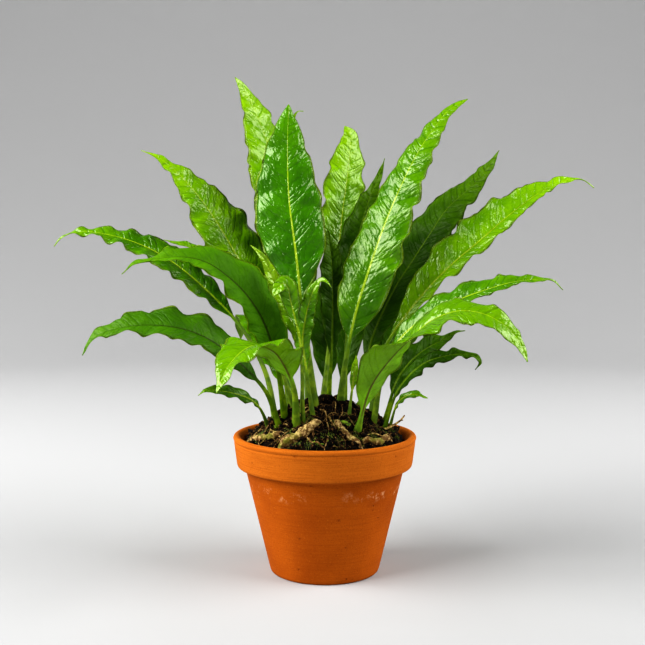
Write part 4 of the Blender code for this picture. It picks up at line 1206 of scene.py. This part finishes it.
@dataclass
class Foliage:
    """Makes the fronds' fine meshes, with veins, swellings and rippled margins."""

    soil: Soil
    eye_across: float = -1.7
    eye_height: float = 257.0
    eye_distance: float = 800.0
    stalk_depth: float = 11.0
    blade_step: float = 1.5
    stalk_step: float = 3.0
    half_thickness: float = 0.26
    tip_half_width: float = 0.35
    vein_gap: float = 5.6
    vein_gap_growth: float = 0.13
    vein_lean: float = 0.55
    vein_bend: float = 0.018
    vein_unevenness: float = 0.24
    margin_ripple: float = 1.2
    scallop: float = 0.8
    ripple_width: float = 14.0
    calm: float = 0.72
    plump: float = 0.30
    flare: float = 0.45
    arch: float = 0.06
    rib_taper: float = 0.72
    rib_height: float = 0.8
    groove_depth: float = 0.45
    seam_reach: float = 1e-6
    finishes: dict[Age, bpy.types.Material] = field(default_factory=dict)

    def in_space(self, across: float, height: float, depth: float) -> Place:
        """Take the perspective out of a measured point and return its real place."""
        stretch = 1.0 + depth / self.eye_distance
        return (
            self.eye_across + (across - self.eye_across) * stretch,
            depth,
            self.eye_height + (height - self.eye_height) * stretch,
        )

    def route(self, frond: Frond) -> Route:
        """The midrib's curve, from the soil's surface to the tip."""
        x, y = frond.foot
        return Route([(x, y, self.soil.height(x, y))] + [self.in_space(*point) for point in frond.route])

    def stalk_radius(self, frond: Frond, share: np.ndarray) -> np.ndarray:
        """The stalk's radius at shares of the frond's length: it thickens toward its foot."""
        risen = np.minimum(share / frond.blade, 1.0)
        return frond.stalk * (1.0 - 0.25 * risen) * (1.0 + self.flare * (1.0 - risen) ** 2)

    def width(self, frond: Frond, at: BladeMap) -> np.ndarray:
        """Half the frond's width at each point's place along it.

        Args:
            frond: The frond.
            at: Where the points lie on it.

        Returns:
            The half widths, in millimetres.
        """
        stalk = self.stalk_radius(frond, at.share)
        turn = at.on_blade ** (math.log(0.5) / math.log(frond.widest))
        power = np.where(turn < 0.5, frond.heel, frond.point)
        outline = frond.half_width * np.maximum(np.sin(math.pi * turn), 0.0) ** power
        fade = np.maximum(0.0, 1.0 - np.maximum(at.along, 0.0) * 3.0)
        wide = (outline ** 4 + (stalk * fade) ** 4) ** 0.25
        return np.where(at.along <= 0.0, stalk, np.maximum(wide, self.tip_half_width))

    def grid(self, frond: Frond, length: float) -> tuple[bmesh.types.BMesh, BladeMap]:
        """A flat grid whose rows lie along the frond and whose columns go once round it.

        The columns start at the left margin, pass over the upper side to the right
        margin at a turn of 1, and come back below to a turn of 2.

        Args:
            frond: The frond.
            length: Its length in millimetres.

        Returns:
            The grid, and where its points lie on the frond.
        """
        start = frond.blade * length
        stalk_rows = np.linspace(-self.stalk_depth, start, max(6, round(start / self.stalk_step)))[:-1]
        blade_rows = np.linspace(start, length, max(20, round((length - start) / self.blade_step)))
        rows = np.concatenate((stalk_rows, blade_rows))
        half_columns = int(np.clip(round(6 + 0.45 * frond.half_width), 8, 15))
        body = bmesh.new()
        bmesh.ops.create_grid(body, x_segments=4 * half_columns, y_segments=len(rows) - 1, size=0.5)
        flat = np.array([vert.co[:2] for vert in body.verts]) + 0.5
        row = np.rint(flat[:, 1] * (len(rows) - 1)).astype(int)
        return body, BladeMap(frond, length, rows[row], flat[:, 0] * 2.0)

    def axes(self, frond: Frond, route: Route, at: BladeMap) -> tuple[np.ndarray, np.ndarray, np.ndarray]:
        """The midrib's place at each point, and the directions above the blade and across it.

        Args:
            frond: The frond.
            route: Its midrib's curve.
            at: Where the points lie on it.

        Returns:
            The places, the directions above and the directions across.
        """
        heading = route.heading(at.reached)
        place = route.at(at.reached) + heading * at.sunk[:, None]
        foot, middle, tip = (np.array(face, float) for face in frond.faces)
        first = foot + (middle - foot) * (at.share * 2.0)[:, None]
        second = middle + (tip - middle) * (at.share * 2.0 - 1.0)[:, None]
        face = np.where((at.share < 0.5)[:, None], first, second)
        up = units(face - heading * np.sum(face * heading, axis=1)[:, None])
        return place, up, np.cross(heading, up)

    def vein_count(self, frond: Frond, at: BladeMap, size: np.ndarray, start: float) -> np.ndarray:
        """How many side veins lie below each point; whole numbers lie on a vein.

        Args:
            frond: The frond.
            at: Where the points lie on it.
            size: Their distances from the midrib, in millimetres.
            start: Where the first vein leaves the midrib, from 0 to 1.

        Returns:
            The counts, with the two halves' veins staggered.
        """
        spacing = self.vein_gap + self.vein_gap_growth * frond.half_width
        veins = (at.blade_mm - self.vein_lean * size - self.vein_bend * size ** 2) / spacing
        veins = veins + np.where(at.right, 0.5, 0.0) + start + 40.0
        return veins + self.vein_unevenness * np.sin(1.9 * veins + np.where(at.right, 2.0, 0.0))

    def swelling(self, frond: Frond, at: BladeMap, veins: np.ndarray, strength: np.ndarray) -> np.ndarray:
        """How far the blade swells between its side veins.

        Args:
            frond: The frond.
            at: Where the points lie on it.
            veins: The count of side veins below each point.
            strength: How strong each swelling is: a hundred on the left, then a hundred on the right.

        Returns:
            The lift of each point, in millimetres.
        """
        cell = np.clip(np.floor(veins).astype(int), 0, 99) + np.where(at.right, 100, 0)
        swell = ease(np.abs(np.sin(math.pi * veins)), 0.0, 0.8) * strength[cell] - 0.6
        hump = ease(at.edge, 0.03, 0.36) * (1.0 - 0.6 * ease(at.edge, 0.72, 1.0))
        return self.plump * frond.puff * swell * hump * at.fade(6.0, 6.0)

    def waves(self, frond: Frond, at: BladeMap, wide: np.ndarray) -> np.ndarray:
        """The fold along the midrib, and the large waves that grow toward the margins.

        Args:
            frond: The frond.
            at: Where the points lie on it.
            wide: Half the blade's width there.

        Returns:
            The lift of each point, in millimetres.
        """
        beat = 2.0 * math.pi * frond.beats * at.along + frond.phase
        swing = np.where(
            at.right,
            np.sin(1.13 * beat + 2.1) + 0.5 * np.sin(1.6 * beat),
            np.sin(beat) + 0.5 * np.sin(1.7 * beat + 1.0),
        )
        fold = frond.fold * at.edge * wide * (at.along > 0.0)
        return fold + self.calm * at.fade(5.0, 4.0) * frond.wave * swing * at.edge ** 1.6

    def margin(self, frond: Frond, at: BladeMap, veins: np.ndarray,
               offsets: np.ndarray) -> tuple[np.ndarray, np.ndarray]:
        """The margins' small ripples and scallops.

        Args:
            frond: The frond.
            at: Where the points lie on it.
            veins: The count of side veins below each point.
            offsets: Eight shifts of the ripples, four for each half.

        Returns:
            The ripples' lift and the scallops' reach outward, in millimetres.
        """
        turns = math.pi * veins
        shift = np.where(at.right[:, None], offsets[:4], offsets[4:])
        slim = min(1.0, frond.half_width / self.ripple_width)
        ripple = np.sin(0.58 * turns + shift[:, 0]) + 0.5 * np.sin(1.31 * turns + shift[:, 1])
        bumps = np.sin(0.52 * turns + shift[:, 2]) + 0.5 * np.sin(0.93 * turns + shift[:, 3])
        reach = np.sign(at.column) * self.scallop * slim * bumps * at.edge ** 2 * at.fade(5.0, 9.0)
        return self.margin_ripple * slim * ripple * at.edge ** 5 * at.fade(5.0, 4.0), reach

    def thickness(self, at: BladeMap, wide: np.ndarray, rib_radius: np.ndarray) -> np.ndarray:
        """Half the blade's thickness, which the midrib raises, above all below.

        Args:
            at: Where the points lie on the frond.
            wide: Half the blade's width there.
            rib_radius: The midrib's radius there.

        Returns:
            The half thickness of each point, in millimetres.
        """
        round_rib = np.maximum(0.0, 1.0 - (np.abs(at.column * wide) / rib_radius) ** 2)
        rib = self.rib_height * rib_radius * np.sqrt(round_rib)
        sheet = self.half_thickness * np.sqrt(np.maximum(0.0, 1.0 - at.edge ** 8)) * (1.0 - 0.4 * at.on_blade)
        upper_rib = 1.0 - 0.62 * ease(at.along, 0.0, 0.25)
        return np.maximum(sheet, rib * np.where(at.upper, upper_rib, 1.0))

    def close(self, body: bmesh.types.BMesh, turn: np.ndarray) -> None:
        """Join the grid along the left margin, fill both ends, and turn the faces outward.

        Args:
            body: The grid.
            turn: Each point's turn round the frond.
        """
        seam = [vert for vert, t in zip(body.verts, turn) if t < self.seam_reach or t > 2.0 - self.seam_reach]
        bmesh.ops.remove_doubles(body, verts=seam, dist=self.seam_reach * 0.1)
        ends = [line for line in body.edges if line.is_boundary]
        bmesh.ops.holes_fill(body, edges=ends, sides=0)
        bmesh.ops.recalc_face_normals(body, faces=body.faces)

    def build(self, frond: Frond) -> None:
        """Make one frond's piece.

        Args:
            frond: The frond.
        """
        route = self.route(frond)
        body, at = self.grid(frond, route.length)
        place, up, side = self.axes(frond, route, at)
        chance = np.random.default_rng(sum(ord(letter) for letter in frond.name))

        wide = self.width(frond, at)
        leaning = frond.skew * np.clip(at.along * 4.0, 0.0, 1.0) * np.where(at.column > 0.0, 1.0, -1.0)
        across = at.column * wide * (1.0 + leaning)
        veins = self.vein_count(frond, at, np.abs(across), chance.uniform(0.0, 1.0))
        lift = self.swelling(frond, at, veins, chance.uniform(0.55, 1.25, 200))
        lift += self.waves(frond, at, wide)
        lift += self.arch * wide * 4.0 * at.edge * (1.0 - at.edge) * at.fade(6.0, 6.0)
        ripple, reach = self.margin(frond, at, veins, chance.uniform(0.0, 6.3, 8))
        lift += ripple
        across = across + reach

        rib_radius = self.stalk_radius(frond, at.share) * (1.0 - self.rib_taper * at.on_blade ** 0.7)
        valley = np.exp(-(np.abs(across) / (2.4 * rib_radius)) ** 2) * ease(at.along, 0.02, 0.2)
        lift -= self.groove_depth * valley * (1.0 - at.on_blade)
        height = lift + at.outward * self.thickness(at, wide, rib_radius)
        points = place + side * across[:, None] + up * height[:, None]

        where = body.verts.layers.float_vector.new("leaf_place")
        look = body.verts.layers.float_vector.new("leaf_look")
        facing = np.where(np.abs(at.spread) > 0.999, 0.0, at.outward)
        places = np.stack((across, at.blade_mm, at.edge), axis=1)
        looks = np.stack((at.along, facing, veins), axis=1)
        for vert, point, lies, seen in zip(body.verts, points * MM, places, looks):
            vert.co = point
            vert[where] = lies
            vert[look] = seen
        self.close(body, at.turn)
        name = frond.name.replace("frond", "leaf")
        if frond.age not in self.finishes:
            self.finishes[frond.age] = frond.age.value.make()
        place_piece(name, to_mesh(name, body), self.finishes[frond.age], [frond.name])


@dataclass
class SoilDressing:
    """Everything on the soil: crumbs, fibres, roots, moss, buds and the root that rises past the rim."""

    soil: Soil
    moss_spots: tuple[tuple[float, float], ...] = (
        (10, -51), (2, -46), (-37, -24), (-9, -53), (25, -44), (-28, -38), (43, -24), (37, -36), (18, -28),
        (-48, -22), (-22, -49), (-14, -30), (52, -14), (-54, -12), (8, -38),
    )
    moss_blades: int = 90
    moss_spread: tuple[float, float] = (2.6, 2.2)
    moss_heights: tuple[float, float] = (1.0, 2.8)
    moss_radii: tuple[float, float] = (0.34, 0.04)
    fibres: int = 240
    fibre_radii: tuple[float, float] = (0.14, 0.36)
    fibre_stride: float = 2.7
    roots: int = 40
    root_radii: tuple[float, float] = (0.40, 0.85)
    root_stride: float = 4.6
    rising_root: tuple[Place, ...] = (
        (38, -24, 110), (45, -17, 112), (53, -10, 114.5), (58, -5, 117), (61, -2, 120),
    )
    root_fork: tuple[Place, ...] = ((56, -7, 116), (58, -9, 117.5), (59, -12, 118))
    buds: tuple[tuple[Place, Place, float], ...] = (
        ((17, -33, 117), (11, -34, 121.5), 3.0),
        ((-3, -51, 106), (-9, -53, 110), 1.3),
        ((1, -51, 106), (-5, -54, 108), 1.1),
        ((3, -50, 106.5), (2, -53, 111), 1.2),
        ((-35, -26, 112), (-38, -28, 117), 1.2),
    )

    def moss_mesh(self) -> bpy.types.Mesh:
        """Stand tufts of short blades on the mound.

        Returns:
            All the moss as one mesh.
        """
        chance = np.random.default_rng(self.soil.seed + 3)
        body = bmesh.new()
        for spot_x, spot_y in self.moss_spots:
            for _ in range(self.moss_blades):
                x = spot_x + chance.normal(0.0, self.moss_spread[0])
                y = spot_y + chance.normal(0.0, self.moss_spread[1])
                if math.hypot(x, y) > self.soil.shoulder_radius - 2.0:
                    continue
                tall = chance.uniform(*self.moss_heights)
                lean = Euler(chance.normal(0.0, 0.5, 2).tolist() + [0.0]).to_matrix().to_4x4()
                spot = Matrix.Translation((x, y, self.soil.surface(x, y) + 0.25 * tall))
                bmesh.ops.create_cone(body, cap_ends=True, segments=3, radius1=self.moss_radii[0],
                                      radius2=self.moss_radii[1], depth=tall,
                                      matrix=Matrix.Scale(MM, 4) @ spot @ lean)
        return to_mesh("moss_tufts", body)

    def bud_lines(self) -> list[Thread]:
        """The short green buds, thick at the foot and pointed at the tip."""
        lines = []
        for foot, tip, thick in self.buds:
            middle = tuple((np.array(foot) + tip) * 0.5 + (0.0, 0.0, 0.8))
            lines.append(Thread((foot, middle, tip),
                                lambda share, thick=thick: thick * (1.02 - share ** 1.6)))
        return lines

    def build(self) -> None:
        """Make the soil's pieces."""
        soil = self.soil
        place_piece("soil_mound", soil.mesh(), EarthFinish().make(), ["soil"])
        place_piece("soil_crumbs", soil.crumb_mesh(), EarthFinish("soil_crumb", bits=1.0).make())
        skin = BarkFinish("root_fibre", pale=(0.34, 0.19, 0.065), brown=(0.05, 0.024, 0.010), moss_share=0.1)
        lines = soil.root_lines(self.fibres, self.fibre_radii, self.fibre_stride, soil.seed + 1)
        place_piece("root_fibres", thread_mesh("root_fibres", lines), skin.make())
        skin = BarkFinish("root_skin", pale=(0.60, 0.42, 0.16), brown=(0.16, 0.085, 0.028), moss_share=0.3)
        lines = soil.root_lines(self.roots, self.root_radii, self.root_stride, soil.seed + 2)
        lines.append(Thread(self.rising_root, lambda share: 1.35 - 0.8 * share))
        lines.append(Thread(self.root_fork, lambda share: 0.7 - 0.4 * share))
        place_piece("surface_roots", thread_mesh("surface_roots", lines, sides=8), skin.make())
        place_piece("moss_tufts", self.moss_mesh(), MossFinish().make())
        skin = MossFinish("bud_green", tip=(0.30, 0.44, 0.02), deep=(0.12, 0.24, 0.01))
        mesh = thread_mesh("green_buds", self.bud_lines(), sides=12, step=0.6)
        place_piece("green_buds", mesh, skin.make())
        bark = BarkFinish().make()
        for rhizome in RHIZOMES:
            rhizome.build(soil, bark)


@dataclass(frozen=True)
class Softbox:
    """A soft rectangular light that looks at the fern's middle.

    turn is how far round it hangs from the viewer to the right and rise how far above the
    fern's middle, in degrees. size is its width and height in metres, power is in watts.
    """

    name: str
    turn: float
    rise: float
    size: tuple[float, float]
    power: float


@dataclass
class Studio:
    """A pale floor, soft lights and the camera at the photograph's viewing angle."""

    eye: Place = (-1.7, -800.0, 257.0)
    tilt_down: float = 4.7
    focal_pixels: float = 1054.0
    picture_pixels: float = 645.0
    sensor: float = 36.0
    aim: Place = (0.0, 0.0, 200.0)
    light_distance: float = 1600.0
    lights: tuple[Softbox, ...] = (
        Softbox("key", -70.0, 33.0, (1.5, 1.3), 50.0),
        Softbox("fill", 78.0, 33.0, (1.4, 1.3), 32.0),
    )
    room_tone: float = 0.36
    backdrop_tone: float = 0.62
    world_tone: float = 0.01
    look: str = "High Contrast"
    floor_radius: float = 1400.0
    room_radius: float = 2800.0
    room_height: float = 4000.0
    bend_steps: int = 16
    wall_turns: int = 96

    def camera(self) -> None:
        """Stand the camera where the photograph was taken from."""
        lens = bpy.data.cameras.new("viewer")
        lens.sensor_width = self.sensor
        lens.lens = self.focal_pixels / self.picture_pixels * self.sensor
        lens.clip_start = 0.01
        holder = bpy.data.objects.new("viewer", lens)
        holder.location = Vector(self.eye) * MM
        holder.rotation_euler = (math.radians(90.0 - self.tilt_down), 0.0, 0.0)
        bpy.context.scene.collection.objects.link(holder)
        bpy.context.scene.camera = holder

    def hang(self, box: Softbox) -> None:
        """Hang one soft light.

        Args:
            box: The light.
        """
        across, up = math.radians(box.turn), math.radians(box.rise)
        away = Vector((math.sin(across) * math.cos(up), -math.cos(across) * math.cos(up), math.sin(up)))
        aim = Vector(self.aim) * MM
        place = aim + away * self.light_distance * MM
        light = bpy.data.lights.new(box.name, "AREA")
        light.shape = "RECTANGLE"
        light.size, light.size_y = box.size
        light.energy = box.power
        holder = bpy.data.objects.new(box.name, light)
        holder.location = place
        holder.rotation_euler = (aim - place).to_track_quat("-Z", "Y").to_euler()
        bpy.context.scene.collection.objects.link(holder)

    def stage(self) -> None:
        """Lay the pale floor, which sweeps up into a pale round wall, lightest behind the fern."""
        bend = self.room_radius - self.floor_radius
        section = [(0.0, 0.0)]
        for step in range(self.bend_steps + 1):
            angle = 0.5 * math.pi * step / self.bend_steps
            section.append((self.floor_radius + bend * math.sin(angle), bend * (1.0 - math.cos(angle))))
        section.append((self.room_radius, self.room_height))
        mesh = to_mesh("floor", turned(section, self.wall_turns, closed=False))
        floor = bpy.data.objects.new("floor", mesh)
        floor.data.shade_smooth()
        recipe = Recipe("pale_floor")
        behind = recipe.parts(recipe.here())[1].step(-0.6, 1.6)
        tone = recipe.blend(behind, (self.room_tone,) * 3, (self.backdrop_tone,) * 3)
        floor.data.materials.append(recipe.finish(tone, 0.9, specular_ior_level=0.1))
        bpy.context.scene.collection.objects.link(floor)

    def surroundings(self) -> None:
        """Set the faint even light of the room and how the picture is toned."""
        world = bpy.data.worlds.new("studio")
        world.use_nodes = True
        backdrop = world.node_tree.nodes["Background"]
        backdrop.inputs["Color"].default_value = (1.0, 1.0, 1.0, 1.0)
        backdrop.inputs["Strength"].default_value = self.world_tone
        bpy.context.scene.world = world
        bpy.context.scene.view_settings.view_transform = "Standard"
        bpy.context.scene.view_settings.look = self.look

    def build(self) -> None:
        """Set up the whole studio."""
        self.camera()
        self.stage()
        self.surroundings()
        for box in self.lights:
            self.hang(box)


def main() -> None:
    """Build the dressed fern and its studio."""
    logging.basicConfig(level=logging.INFO, format="%(name)s: %(message)s")
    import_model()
    Studio().build()
    ClayPot().build()
    soil = Soil()
    SoilDressing(soil).build()
    foliage = Foliage(soil)
    for frond in FRONDS:
        foliage.build(frond)


if __name__ == "__main__":
    main()
